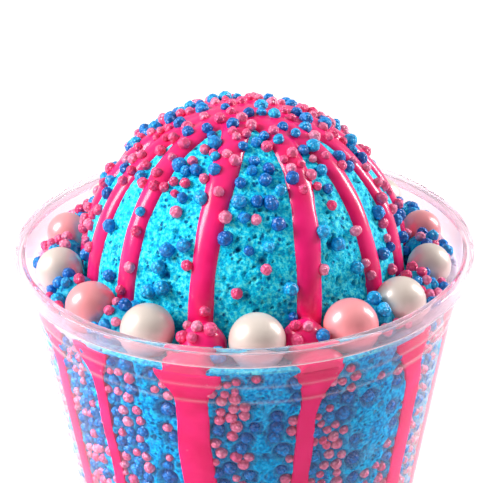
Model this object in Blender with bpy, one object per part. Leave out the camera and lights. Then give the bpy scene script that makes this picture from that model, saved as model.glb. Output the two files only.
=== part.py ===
"""A shaved ice dessert in a clear cup: ice mounded over the rim, syrup stripes, bead sprinkles and pearls.

The origin is the centre of the cup's foot, on the surface that it stands on. +Z is up, and the front is
at -Y. An azimuth is counted from the front, and it grows towards +X.
"""

import math

import bmesh
import bpy
import numpy as np
from mathutils import Matrix

MM = 0.001

# The cup: a thin turned wall with a rolled rim, a stacking step under it and a foot ring
CUP_HEIGHT = 108.0 * MM
RIM_RADIUS = 49.0 * MM
RIM_WIDTH = 2.4 * MM
RIM_SKIRT = 3.3 * MM
CUP_WALL = 0.7 * MM
WALL_TAPER = 0.136
STEP_TOP = 9.15 * MM
STEP_FOOT = 13.1 * MM
STEP_TOP_RADIUS = 46.25 * MM
STEP_FOOT_RADIUS = 45.4 * MM
FOOT_RING_WIDTH = 1.8 * MM
FOOT_RECESS = 1.2 * MM
CUP_SEGMENTS = 48

# The ice: a round dome over a level ledge, a bank up to the cup's wall, and a core that fills the cup
DOME_RADIUS = 34.4 * MM
DOME_CENTRE_DROP = 6.6 * MM
LEDGE_DROP = 6.6 * MM
BANK_DROP = 6.0 * MM
BANK_FOOT_RADIUS = 41.6 * MM
ICE_GAP = 0.4 * MM
CORE_DEPTH = 0.9 * MM
DOME_FILLET = 1.6 * MM
CORE_CORNER = 0.8 * MM
ICE_SEGMENTS = 36
ICE_UNEVENNESS = 0.3 * MM

# The syrup: one stripe for each gap between pearls, on down inside the cup's wall.
# Each row holds the azimuths in degrees at the crown, at the dome's foot, in the gap, at the wall's top and
# further down the wall, and half the width on the wall in millimetres.
STRIPES = (
    (-94, -88, -88.5, -80, -76, 2.4),
    (-82, -65.5, -62.7, -59, -57, 2.2),
    (-60, -44, -39, -41, -39.5, 1.4),
    (-7.5, -14.6, -12, -14.2, -13.1, 3.3),
    (47, 21.3, 17, 18, 15, 1.9),
    (68, 49.5, 41, 46, 49.5, 2.6),
    (93, 69.5, 63.6, 66, 68, 2.2),
    (104, 93, 88.5, 91, 92, 2.9),
    (124, 117, 113.9, 117, 118, 1.8),
    (147, 142, 140.2, 139, 138, 3.1),
    (164, 167, 166.5, 168, 169, 2.3),
    (196, 193, 192.8, 191, 190, 3.2),
    (214, 219, 219, 221, 222, 1.9),
    (240, 245, 245.3, 247, 247, 2.7),
)
STRIPE_HALF_WIDTH = 3.3 * MM
STRIPE_PROUD = 1.1 * MM
STRIPE_SINK = 0.8 * MM
STRIPE_START = 9.0 * MM
STRIPE_NARROWING = 0.12
STRIPE_SWING = 1.8
DOME_SHOULDER = (0.72, 0.72)
WALL_SHOULDER = (0.86, 1.0)
FUNNEL_FLARE = 3.0 * MM
FUNNEL_LENGTH = 4.5 * MM
CROWN_CAP_RADIUS = 10.0 * MM
CROWN_CAP_SIDES = 12
FOOT_SIZE = (4.7 * MM, 4.4 * MM, 4.8 * MM)
FOOT_RING_RADIUS = 38.4 * MM
POOL_BAND = (36.8 * MM, 41.6 * MM)
POOLS_UP_TO = 30.0
FOOT_RISE = 1.3 * MM

# The pearls: azimuth in degrees, radius in millimetres and colour, in the moat between dome and wall
PEARL_RING_RADIUS = 39.8 * MM
PEARL_DROP = 2.9 * MM
PEARL_CLEARANCE = 0.4 * MM
PEARLS = (
    (3.3, 5.5, "white"),
    (30.8, 5.35, "pink"),
    (51.0, 5.15, "white"),
    (76.3, 4.7, "white"),
    (100.8, 4.5, "pink"),
    (127.0, 5.0, "white"),
    (153.3, 5.2, "pink"),
    (179.6, 5.1, "white"),
    (205.9, 5.2, "pink"),
    (232.1, 4.9, "white"),
    (258.4, 4.6, "pink"),
    (284.5, 4.95, "white"),
    (310.1, 5.15, "pink"),
    (332.0, 5.3, "white"),
)

# The sprinkles: small round beads, blue ones a little larger than pink ones
SPRINKLE_SEED = 7
BLUE_RADIUS = (1.25 * MM, 1.6 * MM)
PINK_RADIUS = (0.95 * MM, 1.3 * MM)
SPRINKLE_SWELL = 1.12
CROWN_SPRINKLES = 16
DOME_SPRINKLES = 52
MOAT_SPRINKLES = 1
WALL_SPRINKLES = 26
SPRINKLE_RISE = 0.35
SYRUP_RISE = 0.1
BLUE_SHARE = 0.62
BLUE_ON_SYRUP = 0.12
WALL_BAND = (1.0 * MM, 6.0 * MM)

SHORTEST_EDGE = 0.003 * MM

COLOURS = {
    "cup": (0.90, 0.93, 0.95, 0.25),
    "ice": (0.02, 0.42, 0.66, 1.0),
    "syrup": (0.90, 0.02, 0.14, 1.0),
    "white": (0.88, 0.83, 0.78, 1.0),
    "pink": (0.93, 0.36, 0.36, 1.0),
    "blue_sprinkle": (0.01, 0.20, 0.55, 1.0),
    "pink_sprinkle": (0.85, 0.10, 0.20, 1.0),
}
ROUGHNESS = {
    "cup": 0.05,
    "ice": 0.5,
    "syrup": 0.15,
    "white": 0.2,
    "pink": 0.2,
    "blue_sprinkle": 0.35,
    "pink_sprinkle": 0.35,
}


def clear_scene():
    for thing in list(bpy.data.objects):
        bpy.data.objects.remove(thing)


def material(name):
    """A Principled material in this part's colour, made once and then shared."""
    if name in bpy.data.materials:
        return bpy.data.materials[name]
    made = bpy.data.materials.new(name)
    made.use_nodes = True
    shader = made.node_tree.nodes["Principled BSDF"]
    shader.inputs["Base Color"].default_value = COLOURS[name]
    shader.inputs["Alpha"].default_value = COLOURS[name][3]
    shader.inputs["Roughness"].default_value = ROUGHNESS[name]
    shader.inputs["Metallic"].default_value = 0.0
    return made


def mesh_object(name, points, faces, finish, collection=None):
    """A named object with its normals turned outwards."""
    mesh = bpy.data.meshes.new(name)
    mesh.from_pydata([tuple(point) for point in points], [], faces)
    shape = bmesh.new()
    shape.from_mesh(mesh)
    bmesh.ops.recalc_face_normals(shape, faces=shape.faces)
    shape.to_mesh(mesh)
    shape.free()
    mesh.shade_smooth()
    mesh.materials.append(finish)
    thing = bpy.data.objects.new(name, mesh)
    (collection or bpy.context.scene.collection).objects.link(thing)
    return thing


def around(azimuth, radius, height):
    """The point at this azimuth, in degrees, this far from the cup's axis."""
    angle = math.radians(azimuth)
    return np.array([radius * math.sin(angle), -radius * math.cos(angle), height])


def rings(points_at, rows, columns):
    """Points and faces of a closed surface from its rows: the first and last rows are single points."""
    points = [points_at(0, 0)]
    for row in range(1, rows - 1):
        points += [points_at(row, column) for column in range(columns)]
    points.append(points_at(rows - 1, 0))
    last = len(points) - 1
    faces = []
    for column in range(columns):
        beside = (column + 1) % columns
        faces.append((0, 1 + column, 1 + beside))
        for row in range(rows - 3):
            low = 1 + row * columns
            high = low + columns
            faces.append((low + column, high + column, high + beside, low + beside))
        top = 1 + (rows - 3) * columns
        faces.append((top + column, last, top + beside))
    return points, faces


# Cup

def cup_outside():
    """The cup's outer line from the middle of its foot up to the rolled rim, as (radius, height)."""
    foot = cup_wall_radius(0.0)
    return [
        (0.0, FOOT_RECESS),
        (foot - 2 * FOOT_RING_WIDTH, FOOT_RECESS),
        (foot - 1.5 * FOOT_RING_WIDTH, 0.0),
        (foot - 0.5 * FOOT_RING_WIDTH, 0.0),
        (cup_wall_radius(FOOT_RECESS), FOOT_RECESS),
        (cup_wall_radius(CUP_HEIGHT / 2), CUP_HEIGHT / 2),
        (STEP_FOOT_RADIUS, CUP_HEIGHT - STEP_FOOT),
        (STEP_TOP_RADIUS, CUP_HEIGHT - STEP_TOP),
        (RIM_RADIUS - RIM_WIDTH + CUP_WALL, CUP_HEIGHT - CUP_WALL - 0.3 * MM),
        (RIM_RADIUS - CUP_WALL - 0.2 * MM, CUP_HEIGHT - CUP_WALL - 0.3 * MM),
        (RIM_RADIUS - CUP_WALL, CUP_HEIGHT - RIM_SKIRT),
        (RIM_RADIUS, CUP_HEIGHT - RIM_SKIRT),
        (RIM_RADIUS, CUP_HEIGHT - 0.9 * MM),
        (RIM_RADIUS - 0.5 * MM, CUP_HEIGHT - 0.2 * MM),
        (RIM_RADIUS - 1.1 * MM, CUP_HEIGHT),
        (RIM_RADIUS - RIM_WIDTH + 0.3 * MM, CUP_HEIGHT),
    ]


def cup_inside():
    """The cup's inner line from the rim down to the middle of its floor."""
    return [
        (RIM_RADIUS - RIM_WIDTH, CUP_HEIGHT - 0.4 * MM),
        (STEP_TOP_RADIUS - CUP_WALL, CUP_HEIGHT - STEP_TOP),
        (STEP_FOOT_RADIUS - CUP_WALL, CUP_HEIGHT - STEP_FOOT),
        (cup_wall_radius(CUP_HEIGHT / 2) - CUP_WALL, CUP_HEIGHT / 2),
        (cup_wall_radius(FOOT_RECESS) - CUP_WALL, FOOT_RECESS + 2 * CUP_WALL),
        (cup_wall_radius(0.0) - 1.2 * FOOT_RING_WIDTH, FOOT_RECESS + CUP_WALL),
        (0.0, FOOT_RECESS + CUP_WALL),
    ]


def cup_wall_radius(height):
    """The outer radius of the plain tapered wall below the stacking step."""
    step_foot = CUP_HEIGHT - STEP_FOOT
    return STEP_FOOT_RADIUS - WALL_TAPER * (step_foot - height)


def inner_radius(height):
    """The cup's inner radius at this height."""
    line = sorted((high, radius) for radius, high in cup_inside()[:5])
    return np.interp(height, [high for high, _ in line], [radius for _, radius in line])


def make_cup():
    line = cup_outside() + cup_inside()
    step = 360.0 / CUP_SEGMENTS

    def point(row, column):
        return around(column * step, *line[row])

    points, faces = rings(point, len(line), CUP_SEGMENTS)
    cup = mesh_object("cup", points, faces, material("cup"))
    cup.data.set_sharp_from_angle(angle=math.radians(40))
    return cup


# Ice

def ice_line():
    """The ice's outline from crown to floor, as arrays of way run, radius, height and outward normal."""
    centre = CUP_HEIGHT - DOME_CENTRE_DROP
    ledge = CUP_HEIGHT - LEDGE_DROP
    bank = CUP_HEIGHT - BANK_DROP
    floor = FOOT_RECESS + CUP_WALL + ICE_GAP
    side = np.linspace(bank - CORE_CORNER, floor + CORE_CORNER, 120)
    edge = inner_radius(side[0]) - CORE_DEPTH
    foot_edge = inner_radius(side[-1]) - CORE_DEPTH
    fillet_height = ledge + DOME_FILLET
    fillet_radius = math.sqrt((DOME_RADIUS + DOME_FILLET) ** 2 - (fillet_height - centre) ** 2)
    lowest = math.acos((fillet_height - centre) / (DOME_RADIUS + DOME_FILLET))
    polar = np.linspace(0.0, lowest, 60)
    turn = np.linspace(math.pi + (math.pi / 2 - lowest), 1.5 * math.pi, 8)
    corner = np.linspace(math.pi / 2, 0.0, 8)
    radius = np.concatenate([
        DOME_RADIUS * np.sin(polar),
        fillet_radius + DOME_FILLET * np.cos(turn),
        [BANK_FOOT_RADIUS],
        edge - CORE_CORNER + CORE_CORNER * np.cos(corner),
        inner_radius(side[1:]) - CORE_DEPTH,
        foot_edge - CORE_CORNER + CORE_CORNER * np.cos(corner)[::-1],
        [0.0],
    ])
    height = np.concatenate([
        centre + DOME_RADIUS * np.cos(polar),
        fillet_height + DOME_FILLET * np.sin(turn),
        [ledge],
        bank - CORE_CORNER + CORE_CORNER * np.sin(corner),
        side[1:],
        floor + CORE_CORNER - CORE_CORNER * np.sin(corner)[::-1],
        [floor],
    ])
    run = np.concatenate([[0.0], np.cumsum(np.hypot(np.diff(radius), np.diff(height)))])
    keep = np.concatenate([[True], np.diff(run) > 1e-7])
    run, radius, height = run[keep], radius[keep], height[keep]
    along_radius = np.gradient(radius, run)
    along_height = np.gradient(height, run)
    size = np.hypot(along_radius, along_height)
    return run, radius, height, -along_height / size, along_radius / size


LINE = ice_line()


def run_near(radius, height):
    """How far down the outline its point nearest to this radius and height lies."""
    return float(LINE[0][np.argmin(np.hypot(LINE[1] - radius, LINE[2] - height))])


DOME_END = float(LINE[0][59])
LEDGE_START = run_near(DOME_RADIUS + DOME_FILLET, CUP_HEIGHT - LEDGE_DROP)
LEDGE_END = run_near(BANK_FOOT_RADIUS, CUP_HEIGHT - LEDGE_DROP)
BANK_TOP = run_near(inner_radius(CUP_HEIGHT - BANK_DROP) - CORE_DEPTH - CORE_CORNER, CUP_HEIGHT - BANK_DROP)


def run_at(height):
    """How far down the ice's wall this height is, counted along the outline from the crown."""
    run, _, heights, outward, _ = LINE
    wall = (run > LEDGE_END) & (outward > 0.9)
    return float(np.interp(-height, -heights[wall], run[wall]))


WALL_START = run_at(CUP_HEIGHT - BANK_DROP - CORE_CORNER)
WALL_END = run_at(8.0 * MM)


def on_ice(azimuth, run, aside=0.0, lift=0.0):
    """The point this far down the outline, moved aside along the surface and lifted off it."""
    radius, height, outward, upward = (np.interp(run, LINE[0], part) for part in LINE[1:])
    if run < DOME_END:
        middle = np.array([0.0, 0.0, CUP_HEIGHT - DOME_CENTRE_DROP])
        sideways = around(azimuth + 90.0, 1.0, 0.0)
        ray = around(azimuth, radius, height) - middle + aside * sideways
        return middle + ray / np.linalg.norm(ray) * (DOME_RADIUS + lift)
    turned = azimuth + (math.degrees(aside / radius) if radius > 0 else 0.0)
    return around(turned, radius + lift * outward, height + lift * upward)


def unevenness(azimuth, run):
    """The dome's own low lumps: three crossed waves that fade out at the crown and on the wall."""
    angle = math.radians(azimuth)
    fade = min(1.0, run / (12 * MM)) * min(1.0, max(0.0, (DOME_END - run) / (8 * MM)))
    waves = math.sin(7 * angle + 260 * run) + math.sin(11 * angle - 410 * run) + math.sin(17 * angle + 90)
    return ICE_UNEVENNESS * fade * waves / 3


def make_core():
    """The ice without its toppings: a closed turned form with low lumps on its dome."""
    dome = np.linspace(0.0, DOME_END, 9)
    ledge = [LEDGE_START, LEDGE_END, BANK_TOP, WALL_START]
    wall = [run_at(CUP_HEIGHT - STEP_TOP), run_at(CUP_HEIGHT - STEP_FOOT), run_at(floor_corner())]
    floor = [float(LINE[0][-2]), float(LINE[0][-1])]
    runs = np.concatenate([dome, ledge, wall, floor])
    step = 360.0 / ICE_SEGMENTS

    def point(row, column):
        azimuth = column * step
        return on_ice(azimuth, runs[row], lift=unevenness(azimuth, runs[row]))

    points, faces = rings(point, len(runs), ICE_SEGMENTS)
    return mesh_object("ice", points, faces, material("ice"))


def floor_corner():
    """The height where the ice's side meets its rounded lower edge."""
    return FOOT_RECESS + CUP_WALL + ICE_GAP + CORE_CORNER


# Syrup

def stripe_azimuth(stripe, run):
    """Where the stripe's middle lies: it turns most near the crown, and again from the gap to the wall."""
    crown, foot, gap, funnel, wall, _ = STRIPES[stripe]
    if run < DOME_END:
        return foot + (crown - foot) * (1.0 - run / DOME_END) ** STRIPE_SWING
    places = [DOME_END, WALL_START - 5 * MM, WALL_START, WALL_START + 12 * MM]
    return float(np.interp(run, places, [foot, gap, funnel, wall]))


def dome_half_width(run):
    """Half a stripe's width on the dome, where all of them are alike."""
    return STRIPE_HALF_WIDTH * (1.0 - STRIPE_NARROWING * run / DOME_END)


def stripe_half_width(stripe, run):
    """Half the stripe's width: even on the dome, a funnel at the top of the wall and its own width below."""
    if run < WALL_START - 6 * MM:
        return dome_half_width(run)
    fall = math.exp(-(((run - WALL_START) / FUNNEL_LENGTH) ** 2))
    return STRIPES[stripe][5] * MM + FUNNEL_FLARE * fall


def swept(name, stripe, runs, proud, shoulder, collection):
    """A five-sided band that follows the ice, with its lower corners sunk in it."""
    section = []
    for run in runs:
        half = stripe_half_width(stripe, run)
        azimuth = stripe_azimuth(stripe, run)
        side = shoulder[1] * (proud + STRIPE_SINK) - STRIPE_SINK
        corners = (
            (-half, -STRIPE_SINK),
            (-half * shoulder[0], side),
            (0.0, proud),
            (half * shoulder[0], side),
            (half, -STRIPE_SINK),
        )
        section.append([on_ice(azimuth, run, aside, lift) for aside, lift in corners])
    points = [point for ring in section for point in ring]
    count = len(section[0])
    faces = [tuple(range(count)), tuple(range(len(points) - 1, len(points) - 1 - count, -1))]
    for row in range(len(section) - 1):
        for corner in range(count):
            beside = (corner + 1) % count
            low = row * count
            faces.append((low + corner, low + beside, low + count + beside, low + count + corner))
    return mesh_object(name, points, faces, material("syrup"), collection)


def make_dome_stripe(stripe, collection):
    runs = np.linspace(STRIPE_START, DOME_END - 0.5 * MM, 6)
    return swept(f"dome_stripe_{stripe}", stripe, runs, STRIPE_PROUD, DOME_SHOULDER, collection)


def make_wall_stripe(stripe, collection):
    step_foot = run_at(CUP_HEIGHT - STEP_FOOT)
    middle = 0.5 * (step_foot + WALL_END)
    top = BANK_TOP - 0.5 * MM
    runs = [top, WALL_START, WALL_START + 5 * MM, step_foot, step_foot + 8 * MM, middle, WALL_END]
    proud = CORE_DEPTH - ICE_GAP
    return swept(f"wall_stripe_{stripe}", stripe, runs, proud, WALL_SHOULDER, collection)


def make_foot(stripe, collection):
    """The pool of syrup in a gap between two pearls in front, or the heap of ice in any other gap."""
    gap = STRIPES[stripe][2]
    centre = around(gap, FOOT_RING_RADIUS, CUP_HEIGHT - LEDGE_DROP + FOOT_RISE)
    turn = Matrix.Rotation(math.radians(gap), 3, "Z")
    finish = material("syrup" if abs(gap) < POOLS_UP_TO else "ice")
    return ellipsoid(f"foot_{stripe}", centre, FOOT_SIZE, 8, 5, finish, collection, turn)


def make_crown_cap(collection):
    """The round patch where the stripes meet on the crown."""
    step = 360.0 / CROWN_CAP_SIDES
    lifts = ((0.0, STRIPE_PROUD), (0.85, STRIPE_PROUD), (1.0, 0.0), (0.8, -STRIPE_SINK), (0.0, -STRIPE_SINK))

    def point(row, column):
        share, lift = lifts[row]
        return on_ice(column * step, share * CROWN_CAP_RADIUS, lift=lift)

    points, faces = rings(point, len(lifts), CROWN_CAP_SIDES)
    return mesh_object("crown_cap", points, faces, material("syrup"), collection)


# Pearls

def ellipsoid(name, centre, size, columns, rows, finish, collection=None, turn=None):
    """A closed round form, from named half sizes along its own x, y and z."""
    def point(row, column):
        polar = math.pi * row / rows
        angle = 2 * math.pi * column / columns
        level = math.sin(polar)
        local = np.array([level * math.cos(angle), level * math.sin(angle), math.cos(polar)]) * np.array(size)
        return centre + (np.array(turn) @ local if turn is not None else local)

    points, faces = rings(point, rows + 1, columns)
    return mesh_object(name, points, faces, finish, collection)


def pearl_centre(index):
    azimuth, radius, _ = PEARLS[index]
    lift = 0.25 * (radius * MM - 5.2 * MM)
    return around(azimuth, PEARL_RING_RADIUS, CUP_HEIGHT - PEARL_DROP + lift)


def pearl_ball(name, index, extra, finish, collection=None):
    radius = PEARLS[index][1] * MM + extra
    turn = Matrix.Rotation(math.radians(PEARLS[index][0]), 3, "Z")
    return ellipsoid(name, pearl_centre(index), (radius,) * 3, 10, 6, finish, collection, turn)


def make_pearls():
    for index, (_, _, colour) in enumerate(PEARLS):
        pearl_ball(f"pearl_{colour}_{index + 1:02d}", index, 0.0, material(colour))


# Sprinkles

def syrup_lift(azimuth, run):
    """How far the syrup stands off the dome here."""
    if run < 0.8 * CROWN_CAP_RADIUS:
        return STRIPE_PROUD
    across = DOME_RADIUS * math.sin(run / DOME_RADIUS)
    half = dome_half_width(run)
    found = 0.0
    for stripe in range(len(STRIPES)):
        turned = math.radians(azimuth - stripe_azimuth(stripe, run))
        aside = across * math.sin(turned)
        if math.cos(turned) > 0 and abs(aside) < half:
            found = max(found, STRIPE_PROUD * math.sqrt(1 - (aside / half) ** 2))
    return found


def clear_of(point, radius, taken, pearls_too=True):
    """Whether a bead here keeps off the beads placed before it and off the pearls."""
    for other, size in taken:
        if np.linalg.norm(point - other) < 1.02 * (radius + size):
            return False
    if not pearls_too:
        return True
    for index in range(len(PEARLS)):
        room = PEARLS[index][1] * MM + radius * SPRINKLE_SWELL + PEARL_CLEARANCE
        if np.linalg.norm(point - pearl_centre(index)) < room:
            return False
    return True


def bead_radius(draw, blue_share=0.5):
    """A blue or a pink bead's radius, drawn at random, with its colour."""
    blue = draw.random() < blue_share
    low, high = BLUE_RADIUS if blue else PINK_RADIUS
    return draw.uniform(low, high), "blue_sprinkle" if blue else "pink_sprinkle"


def dome_beads(draw, count, first, last):
    """Beads spread evenly by area over a belt of the dome, between two ways down from the crown."""
    beads = []
    taken = []
    high, low = math.cos(first / DOME_RADIUS), math.cos(last / DOME_RADIUS)
    while len(beads) < count:
        azimuth = draw.uniform(0.0, 360.0)
        run = DOME_RADIUS * math.acos(draw.uniform(low, high))
        lift = syrup_lift(azimuth, run)
        radius, colour = bead_radius(draw, BLUE_ON_SYRUP if lift > 0 else BLUE_SHARE)
        point = on_ice(azimuth, run, lift=lift + (SYRUP_RISE if lift > 0 else SPRINKLE_RISE) * radius)
        if clear_of(point, radius * SPRINKLE_SWELL, taken):
            taken.append((point, radius * SPRINKLE_SWELL))
            beads.append((point, radius, colour))
    return beads


def moat_beads(draw):
    """Beads that lie on each pool or heap between the pearls."""
    beads = []
    taken = []
    for _, _, gap, _, _, _ in STRIPES:
        placed = 0
        for _ in range(60):
            radius, colour = bead_radius(draw)
            aside = draw.uniform(-4.5, 4.5) * MM
            away = draw.uniform(*POOL_BAND)
            across = (away - FOOT_RING_RADIUS) / FOOT_SIZE[1]
            inside = 1.0 - (aside / FOOT_SIZE[0]) ** 2 - across**2
            height = CUP_HEIGHT - LEDGE_DROP + FOOT_RISE + FOOT_SIZE[2] * math.sqrt(max(inside, 0.05))
            point = around(gap + math.degrees(aside / away), away, height + SPRINKLE_RISE * radius)
            if clear_of(point, radius * SPRINKLE_SWELL, taken):
                taken.append((point, radius * SPRINKLE_SWELL))
                beads.append((point, radius, colour))
                placed += 1
            if placed == MOAT_SPRINKLES:
                break
    return beads


def wall_beads(draw, count):
    """Beads pressed against the cup's wall, most of them in a band beside each stripe."""
    beads = []
    taken = []
    while len(beads) < count:
        stripe = int(draw.integers(len(STRIPES)))
        height = draw.uniform(12 * MM, CUP_HEIGHT - BANK_DROP - 4 * MM)
        radius, colour = bead_radius(draw)
        side = inner_radius(height) - ICE_GAP - radius * SPRINKLE_SWELL
        aside = STRIPES[stripe][5] * MM + draw.uniform(*WALL_BAND)
        azimuth = stripe_azimuth(stripe, run_at(height)) + math.degrees(aside / side)
        point = around(azimuth, side, height)
        if clear_of(point, radius * SPRINKLE_SWELL, taken, pearls_too=False):
            taken.append((point, radius * SPRINKLE_SWELL))
            beads.append((point, radius, colour))
    return beads


def make_sprinkles(collection):
    draw = np.random.default_rng(SPRINKLE_SEED)
    crown_edge = 1.1 * CROWN_CAP_RADIUS
    beads = dome_beads(draw, CROWN_SPRINKLES, 0.0, crown_edge)
    beads += dome_beads(draw, DOME_SPRINKLES, crown_edge + 2.5 * MM, DOME_END - 5 * MM)
    beads += moat_beads(draw)
    beads += wall_beads(draw, WALL_SPRINKLES)
    for number, (point, radius, colour) in enumerate(beads):
        shape = bmesh.new()
        roll = Matrix.Rotation(draw.uniform(0.0, math.tau), 4, "X")
        spin = Matrix.Rotation(draw.uniform(0.0, math.tau), 4, "Z")
        place = Matrix.Translation(point) @ roll @ spin
        bmesh.ops.create_icosphere(shape, subdivisions=1, radius=radius * SPRINKLE_SWELL, matrix=place)
        mesh = bpy.data.meshes.new(f"sprinkle_{number}")
        shape.to_mesh(mesh)
        shape.free()
        mesh.materials.append(material(colour))
        collection.objects.link(bpy.data.objects.new(mesh.name, mesh))


# Joining

def boolean(thing, operation, collection):
    """Joins a whole collection to the thing, or cuts it away, and keeps the result in its mesh."""
    step = thing.modifiers.new(operation.lower(), "BOOLEAN")
    step.operand_type = "COLLECTION"
    step.collection = collection
    step.operation = operation
    step.solver = "MANIFOLD"
    graph = bpy.context.evaluated_depsgraph_get()
    result = bpy.data.meshes.new_from_object(thing.evaluated_get(graph))
    thing.modifiers.clear()
    thing.data = result
    thing.data.name = thing.name


def remove_collection(collection):
    for thing in list(collection.objects):
        bpy.data.objects.remove(thing)
    bpy.data.collections.remove(collection)


def keep_main_body(thing):
    """Drops loose scraps and the walls of sealed hollows, so that only the piece that reaches furthest stays.

    Edges too short to matter, which joining leaves behind, are closed up.
    """
    shape = bmesh.new()
    shape.from_mesh(thing.data)
    unseen = set(shape.verts)
    bodies = []
    while unseen:
        body = {unseen.pop()}
        edge = list(body)
        while edge:
            found = {other.other_vert(vert) for vert in edge for other in vert.link_edges} - body
            body |= found
            edge = list(found)
        unseen -= body
        bodies.append(body)
    main = max(bodies, key=lambda body: max(vert.co.length for vert in body))
    spare = [vert for body in bodies if body is not main for vert in body]
    bmesh.ops.delete(shape, geom=spare, context="VERTS")
    bmesh.ops.dissolve_degenerate(shape, dist=SHORTEST_EDGE, edges=shape.edges)
    shape.to_mesh(thing.data)
    shape.free()


def new_collection(name):
    made = bpy.data.collections.new(name)
    bpy.context.scene.collection.children.link(made)
    return made


def make_ice():
    """The ice with its syrup and sprinkles joined on, hollowed a little under each pearl."""
    ice = make_core()
    toppings = new_collection("toppings")
    make_crown_cap(toppings)
    for stripe in range(len(STRIPES)):
        make_dome_stripe(stripe, toppings)
        make_foot(stripe, toppings)
        make_wall_stripe(stripe, toppings)
    make_sprinkles(toppings)
    bpy.context.view_layer.update()
    boolean(ice, "UNION", toppings)
    remove_collection(toppings)
    hollows = new_collection("hollows")
    for index in range(len(PEARLS)):
        pearl_ball(f"hollow_{index}", index, PEARL_CLEARANCE, material("ice"), hollows)
    bpy.context.view_layer.update()
    boolean(ice, "DIFFERENCE", hollows)
    remove_collection(hollows)
    keep_main_body(ice)
    return ice


def main():
    clear_scene()
    make_cup()
    make_ice()
    make_pearls()


main()
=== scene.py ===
"""Looks of a shaved ice dessert in a clear cup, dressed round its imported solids.

All sizes are in metres. The cup stands on the origin, +Z is up and the front is at -Y. An azimuth is counted
in degrees from the front, and it grows towards +X. A way run is counted down the ice from its crown.
"""

import math

import bpy
import numpy as np
from mathutils import Matrix, Vector


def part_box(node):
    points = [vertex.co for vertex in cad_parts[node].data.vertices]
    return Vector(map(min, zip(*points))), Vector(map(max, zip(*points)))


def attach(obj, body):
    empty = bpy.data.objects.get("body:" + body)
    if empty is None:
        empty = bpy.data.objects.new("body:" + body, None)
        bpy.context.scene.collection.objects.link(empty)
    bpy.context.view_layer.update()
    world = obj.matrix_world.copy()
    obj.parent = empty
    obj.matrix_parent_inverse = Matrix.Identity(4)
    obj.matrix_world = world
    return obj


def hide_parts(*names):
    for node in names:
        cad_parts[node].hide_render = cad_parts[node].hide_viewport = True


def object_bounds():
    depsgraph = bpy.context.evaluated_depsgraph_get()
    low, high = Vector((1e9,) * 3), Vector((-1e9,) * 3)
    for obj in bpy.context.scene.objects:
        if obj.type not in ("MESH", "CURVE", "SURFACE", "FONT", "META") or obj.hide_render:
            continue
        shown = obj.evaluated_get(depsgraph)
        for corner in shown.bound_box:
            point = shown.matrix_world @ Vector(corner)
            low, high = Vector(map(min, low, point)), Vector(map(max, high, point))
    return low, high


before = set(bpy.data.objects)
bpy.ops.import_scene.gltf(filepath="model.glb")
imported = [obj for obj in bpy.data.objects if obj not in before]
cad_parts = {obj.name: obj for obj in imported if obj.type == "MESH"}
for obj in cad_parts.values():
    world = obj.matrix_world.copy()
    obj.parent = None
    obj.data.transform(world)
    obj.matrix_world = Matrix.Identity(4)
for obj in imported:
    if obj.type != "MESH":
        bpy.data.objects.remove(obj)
cad_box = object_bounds()

MM = 0.001
UP = np.array([0.0, 0.0, 1.0])

# Sizes that the solids give
CUP_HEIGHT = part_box("cup")[1][2]
RIM_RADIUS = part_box("cup")[1][0]
BOX_TOP = cad_box[1][2]

# The cup's own sizes, as in the part's source
RIM_WIDTH = 2.4 * MM
RIM_SKIRT = 3.3 * MM
CUP_WALL = 0.7 * MM
WALL_TAPER = 0.136
STEP_TOP = 9.15 * MM
STEP_FOOT = 13.1 * MM
STEP_TOP_RADIUS = 46.25 * MM
STEP_FOOT_RADIUS = 45.4 * MM
FOOT_RING_WIDTH = 1.8 * MM
FOOT_RECESS = 1.2 * MM
RIM_HAZE = 0.07
TOP_HAZE = 0.02
# Thin white lines at the rim's edges and at the steps: partly hazy plastic, partly painted highlights
EDGE_HAZE_AND_HIGHLIGHT = 0.65
STEP_HAZE_AND_HIGHLIGHT = 0.16
EDGE_REACH = 0.5 * MM
# Painted reflection: how white the upper cup turns where it is seen edge-on
EDGE_ON_REFLECTION = 0.35

# The ice
DOME_RADIUS = 34.4 * MM
DOME_CENTRE = CUP_HEIGHT - 6.6 * MM
LEDGE_HEIGHT = CUP_HEIGHT - 6.6 * MM
BANK_HEIGHT = CUP_HEIGHT - 6.0 * MM
BANK_FOOT_RADIUS = 41.6 * MM
BANK_LIFT = 0.5 * MM
# A pale veil painted on the ice just under the rim stands in for the cup wall's hazy reflection: how far down
# the wall it reaches
VEIL_DEPTH = 4.0 * MM
ICE_GAP = 0.4 * MM
CORE_DEPTH = 0.9 * MM
DOME_FILLET = 1.6 * MM
CORE_CORNER = 0.8 * MM
INTO_WALL = 0.12 * MM
# Painted reflection: how strong the pale veil is, and how wide it fades in on the bank
VEIL_SHARE = 0.8
VEIL_WIDTH = 1.2 * MM

# The ice's bumps: how high in millimetres and how wide each size of crumb is, then the pores of two sizes
CRUMB = ((0.22, 5.0 * MM), (0.16, 1.3 * MM), (0.13, 0.6 * MM))
WIDE_PORES = {"size": 3.4 * MM, "small": 0.5 * MM, "large": 1.15 * MM, "share": 0.55, "seed": 10}
FINE_PORES = {"size": 1.4 * MM, "small": 0.25 * MM, "large": 0.6 * MM, "share": 0.6, "seed": 20}
PORE_DEPTH = 0.95
SMOOTH_BESIDE_STRIPES = 0.15
ROUGH_FROM = 1.2 * MM

# How many rows and columns of points the pieces have, and at what heights the wall's ice has coarser rows
CUP_COLUMNS = 256
DOME_ROWS = 60
SIDE_ROWS = 120
CORNER_ROWS = 8
MOUND_ROWS = (140, 34)
MOUND_COLUMNS = 560
BODY_ROWS = (84, 68)
BODY_SPLIT = (64.0 * MM, 63.2 * MM)
BODY_COLUMNS = 620
HEAP_GRID = (34, 56)
BLOB_GRID = (18, 28)
PEARL_GRID = (34, 64)
CAP_ROWS = (10, 8)
CAP_COLUMNS = 40
STRIPE_GRID = (90, 18)
BAND_GRID = (130, 24)

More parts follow.
